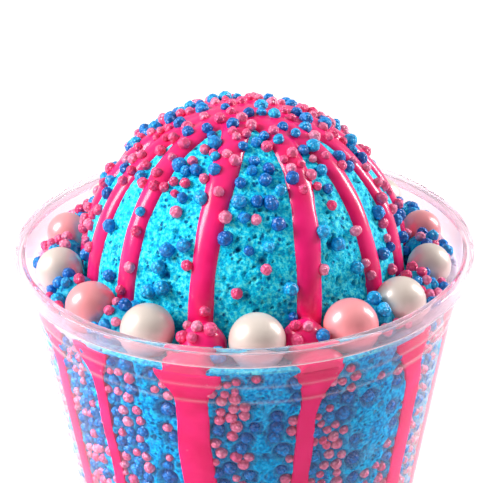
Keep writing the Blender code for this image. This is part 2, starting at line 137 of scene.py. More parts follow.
# The syrup: each row holds a stripe's azimuths at the crown, the dome's foot, in the gap, at the wall's top
# and further down the wall, and half its width on the wall in millimetres
STRIPES = np.array((
    (-94, -88, -88.5, -80, -76, 2.4),
    (-82, -65.5, -62.7, -59, -57, 2.2),
    (-60, -44, -39, -41, -39.5, 1.4),
    (-7.5, -14.6, -12, -14.2, -13.1, 3.3),
    (47, 21.3, 17, 18, 15, 1.9),
    (68, 49.5, 41, 46, 49.5, 2.6),
    (93, 69.5, 63.6, 66, 68, 2.2),
    (104, 93, 88.5, 91, 92, 2.9),
    (124, 117, 113.9, 117, 118, 1.8),
    (147, 142, 140.2, 139, 138, 3.1),
    (164, 167, 166.5, 168, 169, 2.3),
    (196, 193, 192.8, 191, 190, 3.2),
    (214, 219, 219, 221, 222, 1.9),
    (240, 245, 245.3, 247, 247, 2.7),
))
STRIPE_HALF_WIDTH = 3.3 * MM
STRIPE_NARROWING = 0.12
STRIPE_SWING = 1.8
STRIPE_PROUD = 1.1 * MM
STRIPE_SINK = 0.8 * MM
STRIPE_START = 3.0 * MM
FUNNEL_FLARE = 3.0 * MM
FUNNEL_LENGTH = 4.5 * MM
SYRUP_INTO_WALL = 0.28 * MM
BEAD_INTO_WALL = 0.4 * MM
WALL_PRESS = 0.7
DENT_REACH = 1.75
DENT_DEPTH = 0.8
CROWN_CAP_RADIUS = 10.0 * MM
CROWN_EDGE = 1.1 * CROWN_CAP_RADIUS
CROWN_PATCH_RADIUS = 7.0 * MM
FOOT_SIZE = np.array((4.7, 4.4, 4.8)) * MM
FOOT_RING_RADIUS = 38.4 * MM
POOL_BAND = (36.8 * MM, 41.6 * MM)
POOL_FRONT_BAND = (39.0 * MM, 41.9 * MM)
GAP_BAND = (37.5 * MM, 44.4 * MM)
FOOT_RISE = 1.3 * MM
TONGUE_SIZE = np.array((5.6, 3.2, 3.4)) * MM
TONGUE_RING_RADIUS = 43.8 * MM
TONGUE_SINK = 0.9 * MM
TONGUE_INTO_WALL = 0.24 * MM
POOLS_UP_TO = 30.0
HEAP_SHADE = 0.5
SYRUP_VOXEL = 0.42 * MM
SWAY = 0.35 * MM
SWAY_LENGTH = 9 * MM
SWELL_LENGTH = 6 * MM
BAND_SWAY = 0.8 * MM
BAND_SWAY_LENGTH = 12 * MM
BAND_EDGE_LENGTH = 5 * MM
BAND_DEPTH = 0.9 * MM
BAND_TAIL = 8
UNEVEN = 0.10

# The sprinkles: the first of each kind lie where the solids have them
SPRINKLE_SEED = 7
MORE_SEED = 21
BLUE_RADIUS = (1.25 * MM, 1.6 * MM)
PINK_RADIUS = (0.95 * MM, 1.3 * MM)
MORE_BLUE_RADIUS = (1.05 * MM, 1.6 * MM)
MORE_PINK_RADIUS = (0.85 * MM, 1.35 * MM)
POOL_BEADS = ((1.45 * MM, 1.8 * MM), (1.1 * MM, 1.4 * MM))
SPRINKLE_SWELL = 1.12
SPRINKLE_RISE = 0.35
SYRUP_RISE = 0.1
BLUE_SHARE = 0.62
MORE_BLUE_SHARE = 0.75
BLUE_ON_SYRUP = 0.12
SYRUP_SHARE = 0.4
CROWN_SPRINKLES = 16
DOME_SPRINKLES = 52
MOAT_SPRINKLES = 1
WALL_SPRINKLES = 26
WALL_BAND = (1.0 * MM, 6.0 * MM)
MORE_CROWN = 20
MORE_UPPER = 140
MORE_LOWER = 90
MORE_POOL = 8
MORE_HEAP = 13
MORE_WALL = 2050
MOST_BEADS = 6000
APART = 1.02
MIDDLE_BELT = 27 * MM
LOWEST_BEAD = 12 * MM
MOAT_REACH = 4.5 * MM
POOL_REACH = 6.5 * MM
DOME_TRIES = 60
MOAT_TRIES = 60
POOL_TRIES = 400
HEAP_TRIES = 260
WALL_TRIES = 30
# Where the wall beads' lightness starts: pink ones painted lighter and blue ones darker, painted light and
# shade
WALL_SHADING = {"blue": 0.1, "pink": 0.5}
WALL_BELTS = ((0.80, (0.1 * MM, 6.6 * MM)), (0.12, (-3.5 * MM, -0.1 * MM)), (0.08, (6.6 * MM, 16.0 * MM)))
PEARL_CLEARANCE = 0.4 * MM
PEARL_NODES = sorted(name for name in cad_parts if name.startswith("pearl_"))

# Colours, each list from the darkest to the lightest
OPEN_ICE = ((0.000, 0.28, 0.64), (0.000, 0.72, 1.0), (0.16, 1.0, 1.0))
# The same ice painted darker for behind the wall: painted shade
SHADED_WALL_ICE = ((0.000, 0.11, 0.44), (0.000, 0.34, 0.82), (0.02, 0.62, 1.0))
ICE_PATCH = (0.00, 0.62, 0.92)
# The deep blue of the painted shade in the ice's pits
PIT_SHADE = (0.000, 0.12, 0.36)
# The deep blue of the painted shade in the ice's pores, in its dents round the beads and on its heaps
HOLLOW_SHADE = (0.000, 0.075, 0.28)
# Painted reflection: the pale pink-white of the cup wall's haze, painted on the ice under the rim
VEIL_COLOUR = (0.86, 0.66, 0.76)
SYRUP = ((0.78, 0.005, 0.125), (0.94, 0.016, 0.19))
BLUE_BEAD = ((0.000, 0.14, 0.56), (0.000, 0.34, 0.88), (0.01, 0.58, 1.0))
PINK_BEAD = ((1.0, 0.05, 0.22), (1.0, 0.15, 0.35), (1.0, 0.34, 0.52))
# Painted shade in the creases between a bead's bumps
BEAD_CREASE_SHADE = (0.78, 0.50, 0.62)
PEARLS = {
    "white": ((0.69, 0.58, 0.51), (0.74, 0.64, 0.57)),
    "pink": ((0.87, 0.29, 0.31), (0.93, 0.36, 0.38)),
}
CUP_TINTS = ((0.985, 0.955, 0.965), (0.99, 0.965, 0.975))
UPPER_CUP_TINT = (0.91, 0.76, 0.82)
SEEN_THROUGH = (0.97, 0.95, 0.955, 1.0)

# The camera: where it stands from the middle of the rim, and how it is turned
CAMERA_DISTANCE = 0.280
CAMERA_ELEVATION = 26.17
CAMERA_PITCH = 26.48
CAMERA_YAW = -0.12
CAMERA_ROLL = -0.70
CAMERA_LENS = 97.25

# The dark part of the studio, beside the camera
DARK_AZIMUTH = 14.0
DARK_ELEVATION = math.radians(24.0)


# Arrays

def around(azimuth, radius, height):
    """Points at these azimuths in degrees: x = r sin a, y = -r cos a, z = height."""
    angle = np.radians(azimuth)
    radius, height, angle = np.broadcast_arrays(radius, height, angle)
    return np.stack([radius * np.sin(angle), -radius * np.cos(angle), height], axis=-1)


def steps_round(count, full=360.0):
    """Even steps round a full turn, which is 360 degrees or 2 pi."""
    return np.arange(count) * full / count


def put_object(name, data):
    """An object for this mesh, lamp or camera, linked to the scene."""
    made = bpy.data.objects.new(name, data)
    bpy.context.scene.collection.objects.link(made)
    return made


def put_mesh(name, points, quads, triangles=()):
    """A smooth mesh at the origin from arrays of points and faces, with its faces turned outwards."""
    points = np.asarray(points, np.float64).reshape(-1, 3)
    quads = np.asarray(quads, np.int64).reshape(-1, 4)
    triangles = np.asarray(triangles, np.int64).reshape(-1, 3)
    halves = np.concatenate([quads[:, :3], quads[:, [0, 2, 3]], triangles])
    volume = np.einsum("ij,ij->i", points[halves[:, 0]], np.cross(points[halves[:, 1]], points[halves[:, 2]]))
    if volume.sum() < 0:
        quads, triangles = quads[:, ::-1], triangles[:, ::-1]
    mesh = bpy.data.meshes.new(name)
    mesh.vertices.add(len(points))
    mesh.vertices.foreach_set("co", points.astype(np.float32).ravel())
    corners = np.concatenate([quads.ravel(), triangles.ravel()]).astype(np.int32)
    starts = np.concatenate([4 * np.arange(len(quads)), 4 * len(quads) + 3 * np.arange(len(triangles))])
    mesh.loops.add(len(corners))
    mesh.loops.foreach_set("vertex_index", corners)
    mesh.polygons.add(len(starts))
    mesh.polygons.foreach_set("loop_start", starts.astype(np.int32))
    mesh.update(calc_edges=True)
    mesh.validate()
    mesh.shade_smooth()
    return put_object(name, mesh)


def grid_faces(rows, columns):
    """Four-cornered faces of a grid whose columns run round and meet themselves."""
    row, column = np.meshgrid(np.arange(rows - 1), np.arange(columns), indexing="ij")
    beside = (column + 1) % columns
    faces = np.stack([
        row * columns + column,
        row * columns + beside,
        (row + 1) * columns + beside,
        (row + 1) * columns + column,
    ], axis=-1)
    return faces.reshape(-1, 4)


def closed_surface(grid, first, last):
    """Points and faces of a round grid closed at both ends by a pole point each."""
    rows, columns = grid.shape[:2]
    points = np.concatenate([grid.reshape(-1, 3), [first], [last]])
    column = np.arange(columns)
    beside = (column + 1) % columns
    top = rows * columns
    low = (rows - 1) * columns
    fans = np.concatenate([
        np.stack([np.full(columns, top), beside, column], axis=-1),
        np.stack([np.full(columns, top + 1), low + column, low + beside], axis=-1),
    ])
    return points, grid_faces(rows, columns), fans


def capped(grid):
    """A tube's points and faces, closed at both ends in the middle of its first and last ring."""
    return closed_surface(grid, grid[0].mean(axis=0), grid[-1].mean(axis=0))


def joined(parts):
    """One list of points and faces from several closed surfaces."""
    count = np.cumsum([0] + [len(points) for points, _, _ in parts])
    return (
        np.concatenate([points for points, _, _ in parts]),
        np.concatenate([quads + start for (_, quads, _), start in zip(parts, count)]),
        np.concatenate([fans + start for (_, _, fans), start in zip(parts, count)]),
    )


def ball(size, rows, columns):
    """A ball of three half sizes without its poles: (sin p cos a, sin p sin a, cos p) times the sizes."""
    polar = np.linspace(0, math.pi, rows)[1:-1, None]
    angle = steps_round(columns, math.tau)[None, :]
    points = np.stack([
        size[0] * np.sin(polar) * np.cos(angle),
        size[1] * np.sin(polar) * np.sin(angle),
        size[2] * np.cos(polar) + 0 * angle,
    ], axis=-1)
    return polar, angle, points


def paint(piece, name, values, first=0):
    """Puts a number for each vertex from the first on into a named attribute, and 0 for the others."""
    values = np.ravel(values)
    every = np.zeros(len(piece.data.vertices), np.float32)
    every[first:first + len(values)] = values
    layer = piece.data.attributes.new(name, "FLOAT", "POINT")
    layer.data.foreach_set("value", every)


# Noise

def scrambled(cell, seed):
    """An even number from 0 to 1 for each whole-number cell: coordinates times large primes, mixed by xor."""
    x, y, z = (cell[..., axis].astype(np.int64) for axis in range(3))
    mixed = (x * 73856093) ^ (y * 19349663) ^ (z * 83492791) ^ (seed * 83492773)
    mixed = ((mixed ^ (mixed >> 13)) * 1274126177) & 0xFFFFFFFF
    mixed = ((mixed ^ (mixed >> 15)) * 668265263) & 0xFFFFFFFF
    return ((mixed ^ (mixed >> 16)) & 0xFFFFFF) / float(0x1000000)


def soft_noise(points, size, seed):
    """Smooth noise from -1 to 1: cell corners' random numbers blended by 3t^2 - 2t^3 along each axis."""
    place = points / size
    cell = np.floor(place)
    t = place - cell
    t = t * t * (3 - 2 * t)
    total = np.zeros(len(points))
    for corner in np.ndindex(2, 2, 2):
        weight = np.prod(np.where(corner, t, 1 - t), axis=-1)
        total += weight * scrambled(cell + corner, seed)
    return 2 * total - 1


def hollows(points, size, small, large, share, seed):
    """Round hollows, 1 in the middle to 0 at the edge: a share of the cells holds one of a random radius."""
    place = points / size
    cell = np.floor(place)
    deepest = np.zeros(len(points))
    for step in np.ndindex(3, 3, 3):
        other = cell + np.array(step) - 1
        middle = np.stack([scrambled(other, seed + axis) for axis in range(3)], axis=-1)
        radius = (small + (large - small) * scrambled(other, seed + 3) ** 2) / size
        here = scrambled(other, seed + 4) < share
        away = np.linalg.norm(place - other - middle, axis=-1)
        deepest = np.maximum(deepest, np.where(here, np.clip(1 - away / radius, 0, 1), 0))
    return deepest


# Outlines

def rounded(corners, steps=6):
    """A line of (radius, height) whose corners are rounded: each is a parabola from one side to the next."""
    corners = [np.array(corner, float) for corner in corners]
    line = [corners[0][:2]]
    share = np.linspace(0, 1, steps)[:, None]
    for before, corner, after in zip(corners, corners[1:], corners[2:]):
        turn = corner[2] if len(corner) > 2 else 0.0
        ends = []
        for other in (before, after):
            way = other[:2] - corner[:2]
            far = np.linalg.norm(way)
            ends.append(corner[:2] + way / far * min(turn, 0.45 * far))
        curve = (1 - share) ** 2 * ends[0] + 2 * share * (1 - share) * corner[:2] + share**2 * ends[1]
        line += list(curve) if turn > 0 else [corner[:2]]
    line.append(corners[-1][:2])
    return np.array(line)


def cup_wall_radius(height):
    """The outer radius of the plain tapered wall below the stacking step."""
    return STEP_FOOT_RADIUS - WALL_TAPER * (CUP_HEIGHT - STEP_FOOT - height)


def cup_outside():
    """The cup's outer corners, from the middle of its foot up to the rolled rim."""
    foot = cup_wall_radius(0.0)
    under_lip = CUP_HEIGHT - CUP_WALL - 0.3 * MM
    return [
        (0.0, FOOT_RECESS),
        (foot - 2 * FOOT_RING_WIDTH, FOOT_RECESS, 1.0 * MM),
        (foot - 1.5 * FOOT_RING_WIDTH, 0.0, 0.4 * MM),
        (foot - 0.5 * FOOT_RING_WIDTH, 0.0, 0.6 * MM),
        (cup_wall_radius(FOOT_RECESS), FOOT_RECESS, 0.8 * MM),
        (STEP_FOOT_RADIUS, CUP_HEIGHT - STEP_FOOT, 0.25 * MM),
        (STEP_TOP_RADIUS, CUP_HEIGHT - STEP_TOP, 0.25 * MM),
        (RIM_RADIUS - RIM_WIDTH + CUP_WALL, under_lip, 0.3 * MM),
        (RIM_RADIUS - CUP_WALL - 0.2 * MM, under_lip, 0.3 * MM),
        (RIM_RADIUS - CUP_WALL, CUP_HEIGHT - RIM_SKIRT, 0.25 * MM),
        (RIM_RADIUS, CUP_HEIGHT - RIM_SKIRT, 0.3 * MM),
        (RIM_RADIUS, CUP_HEIGHT, 1.0 * MM),
    ]


def cup_inside():
    """The cup's inner corners, from the rim down to the middle of its floor."""
    return [
        (RIM_RADIUS - RIM_WIDTH, CUP_HEIGHT, 0.8 * MM),
        (STEP_TOP_RADIUS - CUP_WALL, CUP_HEIGHT - STEP_TOP, 0.25 * MM),
        (STEP_FOOT_RADIUS - CUP_WALL, CUP_HEIGHT - STEP_FOOT, 0.25 * MM),
        (cup_wall_radius(FOOT_RECESS) - CUP_WALL, FOOT_RECESS + 2 * CUP_WALL, 1.0 * MM),
        (cup_wall_radius(0.0) - 1.2 * FOOT_RING_WIDTH, FOOT_RECESS + CUP_WALL, 0.6 * MM),
        (0.0, FOOT_RECESS + CUP_WALL),
    ]


INSIDE = np.array([corner[:2] for corner in cup_inside()[:4]])[::-1]


def inner_radius(height):
    """The cup's inner radius at these heights."""
    return np.interp(height, INSIDE[:, 1], INSIDE[:, 0])


def ice_line():
    """The bare ice's outline from crown to floor: way run, radius, height and outward normal."""
    floor = FOOT_RECESS + CUP_WALL + ICE_GAP
    side = np.linspace(BANK_HEIGHT - CORE_CORNER, floor + CORE_CORNER, SIDE_ROWS)
    edge = inner_radius(side[0]) - CORE_DEPTH
    foot_edge = inner_radius(side[-1]) - CORE_DEPTH
    fillet_height = LEDGE_HEIGHT + DOME_FILLET
    fillet_radius = math.sqrt((DOME_RADIUS + DOME_FILLET) ** 2 - (fillet_height - DOME_CENTRE) ** 2)
    lowest = math.acos((fillet_height - DOME_CENTRE) / (DOME_RADIUS + DOME_FILLET))
    polar = np.linspace(0.0, lowest, DOME_ROWS)
    turn = np.linspace(math.pi + (math.pi / 2 - lowest), 1.5 * math.pi, CORNER_ROWS)
    corner = np.linspace(math.pi / 2, 0.0, CORNER_ROWS)
    radius = np.concatenate([
        DOME_RADIUS * np.sin(polar),
        fillet_radius + DOME_FILLET * np.cos(turn),
        [BANK_FOOT_RADIUS],
        edge - CORE_CORNER + CORE_CORNER * np.cos(corner),
        inner_radius(side[1:]) - CORE_DEPTH,
        foot_edge - CORE_CORNER + CORE_CORNER * np.cos(corner)[::-1],
        [0.0],
    ])
    height = np.concatenate([
        DOME_CENTRE + DOME_RADIUS * np.cos(polar),
        fillet_height + DOME_FILLET * np.sin(turn),
        [LEDGE_HEIGHT],
        BANK_HEIGHT - CORE_CORNER + CORE_CORNER * np.sin(corner),
        side[1:],
        floor + CORE_CORNER - CORE_CORNER * np.sin(corner)[::-1],
        [floor],
    ])
    run = np.concatenate([[0.0], np.cumsum(np.hypot(np.diff(radius), np.diff(height)))])
    keep = np.concatenate([[True], np.diff(run) > 1e-7])
    run, radius, height = run[keep], radius[keep], height[keep]
    along_radius = np.gradient(radius, run)
    along_height = np.gradient(height, run)
    size = np.hypot(along_radius, along_height)
    return run, radius, height, -along_height / size, along_radius / size


LINE = ice_line()
DOME_END = float(LINE[0][DOME_ROWS - 1])


def run_at(height):
    """How far down the ice's wall this height is, counted along the outline from the crown."""
    run, radius, heights, outward, _ = LINE
    wall = (run > DOME_END + DOME_FILLET) & (outward > 0.9)
    return np.interp(-np.asarray(height), -heights[wall], run[wall])


WALL_START = float(run_at(BANK_HEIGHT - CORE_CORNER))
WALL_END = float(run_at(8.0 * MM))
BODY_TOP = BANK_HEIGHT - CORE_CORNER + BANK_LIFT


def on_ice(azimuth, run, aside=0.0, lift=0.0):
    """Points this far down the outline, moved aside along the surface and lifted off it.

    On the dome a point is the sphere's centre plus (R + lift) times the unit ray through the place beside
    the path. Below the dome the azimuth turns by aside / r, and the lift goes along the outline's normal.
    """
    azimuth, run, aside, lift = np.broadcast_arrays(azimuth, run, aside, lift)
    radius, height, outward, upward = (np.interp(run, LINE[0], part) for part in LINE[1:])
    middle = np.array([0.0, 0.0, DOME_CENTRE])
    ray = around(azimuth, radius, height) - middle
    ray = ray + aside[..., None] * around(azimuth + 90.0, 1.0, 0.0)
    size = np.linalg.norm(ray, axis=-1, keepdims=True)
    domed = middle + ray / np.maximum(size, 1e-9) * (DOME_RADIUS + lift)[..., None]
    turned = azimuth + np.degrees(aside / np.maximum(radius, 0.1 * MM))
    plain = around(turned, radius + lift * outward, height + lift * upward)
    return np.where((run < DOME_END)[..., None], domed, plain)


def on_wall(azimuth, height, aside=0.0, depth=0.0):
    """Points inside the cup's wall: the inner radius less a depth, turned by way aside over radius."""
    radius = inner_radius(height) - depth
    return around(azimuth + np.degrees(aside / radius), radius, height)


def keep_inside(points, into):
    """Draws points towards the axis, so that none reaches further than this into the cup's wall."""
    radius = np.hypot(points[..., 0], points[..., 1])
    limit = inner_radius(points[..., 2]) + into
    points[..., :2] *= np.minimum(limit / np.maximum(radius, 1e-6), 1.0)[..., None]


# Materials

def node(tree, kind, inputs=(), **settings):
    """A node with its settings, its input values and links: a socket is linked, and a value is set."""
    made = tree.nodes.new(kind)
    for name, value in settings.items():
        setattr(made, name, value)
    for name, value in dict(inputs).items():
        if isinstance(value, bpy.types.NodeSocket):
            tree.links.new(value, made.inputs[name])
        else:
            made.inputs[name].default_value = value
    return made


def principled(name, **values):
    """A material with one Principled shader, its plain values set on its own sockets."""
    made = bpy.data.materials.new(name)
    made.use_nodes = True
    tree = made.node_tree
    shader = tree.nodes["Principled BSDF"]
    for socket, value in values.items():
        shader.inputs[socket.replace("_", " ")].default_value = value
    return made, tree, shader


def here(tree):
    """Object coordinates, so that a pattern has its real size."""
    return node(tree, "ShaderNodeTexCoord").outputs["Object"]


def noise(tree, scale, detail=3.0, roughness=0.55):
    """Soft noise from 0 to 1, with this many waves in a metre."""
    inputs = {"Vector": here(tree), "Scale": scale, "Detail": detail, "Roughness": roughness}
    return node(tree, "ShaderNodeTexNoise", inputs).outputs["Fac"]


def cells(tree, scale):
    """How far each point lies from the middle of its cell, with this many cells in a metre."""
    return node(tree, "ShaderNodeTexVoronoi", {"Vector": here(tree), "Scale": scale}).outputs["Distance"]


def ramp(tree, factor, *stops):
    """A colour ramp through (place, colour) stops, where one number stands for a grey."""
    made = node(tree, "ShaderNodeValToRGB", {"Fac": factor})
    elements = made.color_ramp.elements
    while len(elements) < len(stops):
        elements.new(0.5)
    for element, (place, colour) in zip(elements, stops):
        element.position = place
        element.color = (*colour, 1.0) if isinstance(colour, tuple) else (colour, colour, colour, 1.0)
    return made.outputs["Color"]


def blend(tree, factor, first, second, way="MIX"):
    """Mixes two colours, each a socket or a plain colour."""
    made = node(tree, "ShaderNodeMix", data_type="RGBA", blend_type=way, clamp_factor=True)
    slots = {"Factor_Float": factor, "A_Color": first, "B_Color": second}
    for socket in made.inputs:
        if socket.identifier not in slots:
            continue
        value = slots[socket.identifier]
        if isinstance(value, bpy.types.NodeSocket):
            tree.links.new(value, socket)
        else:
            socket.default_value = (*value, 1.0) if isinstance(value, tuple) else value
    return next(out for out in made.outputs if out.identifier == "Result_Color")


def attribute(tree, name):
    """The number that was painted on the piece under this name."""
    return node(tree, "ShaderNodeAttribute", attribute_name=name).outputs["Fac"]


def bump(tree, shader, height, strength, distance):
    """Makes the shader's surface look raised where the height is large."""
    made = node(tree, "ShaderNodeBump", {"Height": height, "Strength": strength, "Distance": distance})
    tree.links.new(made.outputs["Normal"], shader.inputs["Normal"])


def ice_finish(name, shine, dark, middle, light):
    """Wet blue shaved ice: pale crystals and mid blue crumb, with painted shade in its pits and hollows, and
    a fine grain.
    """
    made, tree, shader = principled(name, Roughness=0.36, IOR=1.31, Specular_IOR_Level=shine)
    crumb = noise(tree, 1300.0, 4.0, 0.65)
    patch = ramp(tree, noise(tree, 160.0, 2.0), (0.35, 0.0), (0.7, 0.3))
    body = ramp(tree, crumb, (0.36, dark), (0.50, middle), (0.62, light))
    body = blend(tree, patch, body, ICE_PATCH)
    # Painted shade: the small round pits, in patches, are painted deep blue
    pits = ramp(tree, cells(tree, 820.0), (0.20, 0.95), (0.38, 0.0))
    some = ramp(tree, noise(tree, 330.0, 2.0), (0.50, 0.0), (0.58, 1.0))
    pits = blend(tree, 1.0, pits, some, "MULTIPLY")
    body = blend(tree, pits, body, PIT_SHADE)
    # Painted shade: deep blue where the pieces were painted darker, in pores, beside beads and on the heaps
    body = blend(tree, attribute(tree, "painted_shade"), body, HOLLOW_SHADE)
    # Painted reflection: a pale veil under the rim at the sides and the back
    body = blend(tree, attribute(tree, "painted_veil"), body, VEIL_COLOUR)
    tree.links.new(body, shader.inputs["Base Color"])
    grain = node(tree, "ShaderNodeMath", {0: noise(tree, 1500.0, 4.0, 0.7), 1: pits}, operation="SUBTRACT")
    bump(tree, shader, grain.outputs["Value"], 0.8, 0.4 * MM)
    return made


def syrup_finish(name, shine, coat):
    """Thick hot pink syrup, wet where it lies open and without a shine of its own where it meets the wall."""
    made, tree, shader = principled(
        name, Roughness=0.24, IOR=1.45, Specular_IOR_Level=shine, Coat_Weight=coat, Coat_Roughness=0.08,
    )
    colour = ramp(tree, noise(tree, 140.0, 2.0), (0.35, SYRUP[0]), (0.65, SYRUP[1]))
    tree.links.new(colour, shader.inputs["Base Color"])
    bump(tree, shader, noise(tree, 220.0, 2.0), 0.12, 0.6 * MM)
    return made


def bead_finish(name, dark, middle, light):
    """Sugar beads: each has its own lightness, painted lighter or darker at the wall as painted light and
    shade, with round bumps and painted shade in the creases between them.
    """
    made, tree, shader = principled(name, Roughness=0.27, Specular_IOR_Level=0.5)
    own = ramp(tree, attribute(tree, "tone_and_shading"), (0.0, dark), (0.5, middle), (1.0, light))
    away = cells(tree, 1250.0)
    # Painted shade: darker in the creases between the round bumps
    crease_shade = ramp(tree, away, (0.3, 1.0), (0.7, BEAD_CREASE_SHADE))
    colour = blend(tree, 1.0, own, crease_shade, "MULTIPLY")
    tree.links.new(colour, shader.inputs["Base Color"])
    bump(tree, shader, ramp(tree, away, (0.2, 1.0), (0.7, 0.0)), 0.8, 0.3 * MM)
    return made


def pearl_finish(name, blush, base):
    """A smooth sugar shell with a faint mottle and a pearly shine."""
    made, tree, shader = principled(name, Roughness=0.34, Metallic=0.15, Coat_Weight=0.4, Coat_Roughness=0.1)
    colour = ramp(tree, noise(tree, 120.0, 2.0), (0.3, blush), (0.65, base))
    tree.links.new(colour, shader.inputs["Base Color"])
    bump(tree, shader, noise(tree, 900.0, 2.0), 0.03, 0.2 * MM)
    return made


def cup_finish():
    """Clear thin plastic, a little hazy where its "haze" attribute says so, as at the rolled rim; that
    attribute also holds painted highlight lines, and the upper cup turns white where it is seen edge-on, a
    painted reflection.

    Light from lamps goes straight through it, and sight bends as in the real wall.
    """
    made, tree, shader = principled("clear_plastic", IOR=1.2)
    milky_and_sheen = attribute(tree, "haze")
    tint = ramp(tree, noise(tree, 30.0, 1.0), (0.3, CUP_TINTS[0]), (0.7, CUP_TINTS[1]))
    upper = ramp(tree, milky_and_sheen, (0.0, 0.0), (0.02, 1.0))
    tint = blend(tree, upper, tint, UPPER_CUP_TINT)
    tree.links.new(tint, shader.inputs["Base Color"])
    # Painted reflection: the upper cup turns whiter where it is seen edge-on
    edge_on = node(tree, "ShaderNodeLayerWeight", {"Blend": 0.5}).outputs["Facing"]
    veil = ramp(tree, edge_on, (0.45, 0.0), (0.9, EDGE_ON_REFLECTION))
    veil = blend(tree, 1.0, veil, upper, "MULTIPLY")
    milky_and_sheen = node(tree, "ShaderNodeMath", {0: milky_and_sheen, 1: veil}, operation="ADD", use_clamp=True)
    clear = ramp(tree, milky_and_sheen.outputs["Value"], (0.0, 1.0), (1.0, 0.0))
    tree.links.new(clear, shader.inputs["Transmission Weight"])
    haze = ramp(tree, noise(tree, 90.0, 3.0), (0.3, 0.02), (0.7, 0.05))
    tree.links.new(haze, shader.inputs["Roughness"])
    through = node(tree, "ShaderNodeBsdfTransparent", {"Color": SEEN_THROUGH})
    lamp_ray = node(tree, "ShaderNodeLightPath").outputs["Is Shadow Ray"]
    both = node(tree, "ShaderNodeMixShader", {"Fac": lamp_ray})
    tree.links.new(shader.outputs["BSDF"], both.inputs[1])
    tree.links.new(through.outputs["BSDF"], both.inputs[2])
    tree.links.new(both.outputs["Shader"], tree.nodes["Material Output"].inputs["Surface"])
    return made


# Pieces

def dress(piece, finish, slot, *replaced):
    """Gives a piece its material and its body, and hides the nodes that it stands for; the slot is not used.
    """
    piece.data.materials.clear()
    piece.data.materials.append(finish)
    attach(piece, "root")
    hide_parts(*replaced)
    return piece


def with_edges(line):
    """Adds a point near both ends of each long side, so that what is painted at a corner stays there."""
    points = [line[0]]
    for start, end in zip(line, line[1:]):
        far = np.linalg.norm(end - start)
        if far > 3 * EDGE_REACH:
            points += [start + (end - start) * EDGE_REACH / far, end - (end - start) * EDGE_REACH / far]
        points.append(end)
    return np.array(points)


def cup_haze_and_highlights(line):
    """How hazy the plastic is along its outline: some at the rim, with thin white lines at edges and steps
    that are partly hazy plastic and partly painted highlights.
    """
    radius, height = line[:, 0], line[:, 1]
    rim = RIM_HAZE * (height > CUP_HEIGHT - RIM_SKIRT - 0.1 * MM)
    rim = np.maximum(rim, TOP_HAZE * (height > CUP_HEIGHT - STEP_TOP + 0.4 * MM))
    # Painted highlights, partly hazy plastic: thin white lines at the step corners and at the rim's edges
    corners = (
        (STEP_TOP_RADIUS, STEP_TOP, STEP_HAZE_AND_HIGHLIGHT),
        (STEP_FOOT_RADIUS, STEP_FOOT, STEP_HAZE_AND_HIGHLIGHT),
        (RIM_RADIUS, RIM_SKIRT, EDGE_HAZE_AND_HIGHLIGHT),
        (RIM_RADIUS, 0.0, EDGE_HAZE_AND_HIGHLIGHT),
        (RIM_RADIUS - RIM_WIDTH, 0.0, EDGE_HAZE_AND_HIGHLIGHT),
    )
    lines = [
        haze * np.exp(-(np.hypot(radius - corner, height - CUP_HEIGHT + drop) / (0.3 * MM)) ** 2)
        for corner, drop, haze in corners
    ]
    return rim + sum(lines)


def make_cup():
    """The cup as a turned form: its rounded outline goes round the axis."""
    line = with_edges(rounded(cup_outside() + cup_inside()))
    grid = around(steps_round(CUP_COLUMNS)[None, :], line[1:-1, :1], line[1:-1, 1:])
    ends = (around(0.0, *line[0]), around(0.0, *line[-1]))
    cup = put_mesh("cup_clear", *closed_surface(grid, *ends))
    paint(cup, "haze", np.repeat(cup_haze_and_highlights(line[1:-1]), CUP_COLUMNS))
    return dress(cup, cup_finish(), "clear_cup", "cup")


def ice_relief(points):
    """The ice's bumps and pores: the sum of its crumbs' noise, less the root of the deepest pore; the pores
    are also where shade is painted.
    """
    crumb = sum(height * soft_noise(points, size, seed) for seed, (height, size) in enumerate(CRUMB, 1))
    wide = hollows(points, **WIDE_PORES)
    fine = hollows(points, **FINE_PORES)
    pores = np.maximum(np.minimum(1.5 * wide, 1.0), 0.75 * np.minimum(1.6 * fine, 1.0))
    return MM * (crumb - PORE_DEPTH * np.sqrt(pores)), pores


def to_wall(points, into):
    """Stretches what lies outside the bank's foot, so that it ends a little inside the cup's wall."""
    radius = np.hypot(points[..., 0], points[..., 1])
    edge = inner_radius(BODY_TOP)
    share = np.clip((radius - BANK_FOOT_RADIUS) / (edge - CORE_DEPTH - BANK_FOOT_RADIUS), 0, 1)
    wider = 1 + share * (CORE_DEPTH + into) / np.maximum(radius, MM)
    return points * np.stack([wider, wider, np.ones_like(wider)], axis=-1) + BANK_LIFT * share[..., None] * UP


def beside_stripes(azimuth, run):
    """How rough the ice is beside the stripes: nearly smooth at their edges, and fully rough further off."""
    across = DOME_RADIUS * np.sin(np.minimum(run / DOME_RADIUS, math.pi / 2))
    nearest = np.full(np.broadcast_shapes(azimuth.shape, run.shape), 1.0)
    for stripe in range(len(STRIPES)):
        turned = np.radians(azimuth - stripe_azimuth(stripe, run))
        aside = np.where(np.cos(turned) > 0, np.abs(across * np.sin(turned)), across)
        nearest = np.minimum(nearest, aside - dome_half_width(run))
    rough = np.clip(SMOOTH_BESIDE_STRIPES + nearest / ROUGH_FROM, SMOOTH_BESIDE_STRIPES, 1.0)
    return np.where(run < DOME_END, rough, 1.0)


def veiled_share(azimuth):
    """How much of the painted pale veil under the rim shows: none in front, all of it at the sides and the
    back.
    """
    return np.clip((0.85 - np.cos(np.radians(azimuth))) / 0.2, 0, 1)


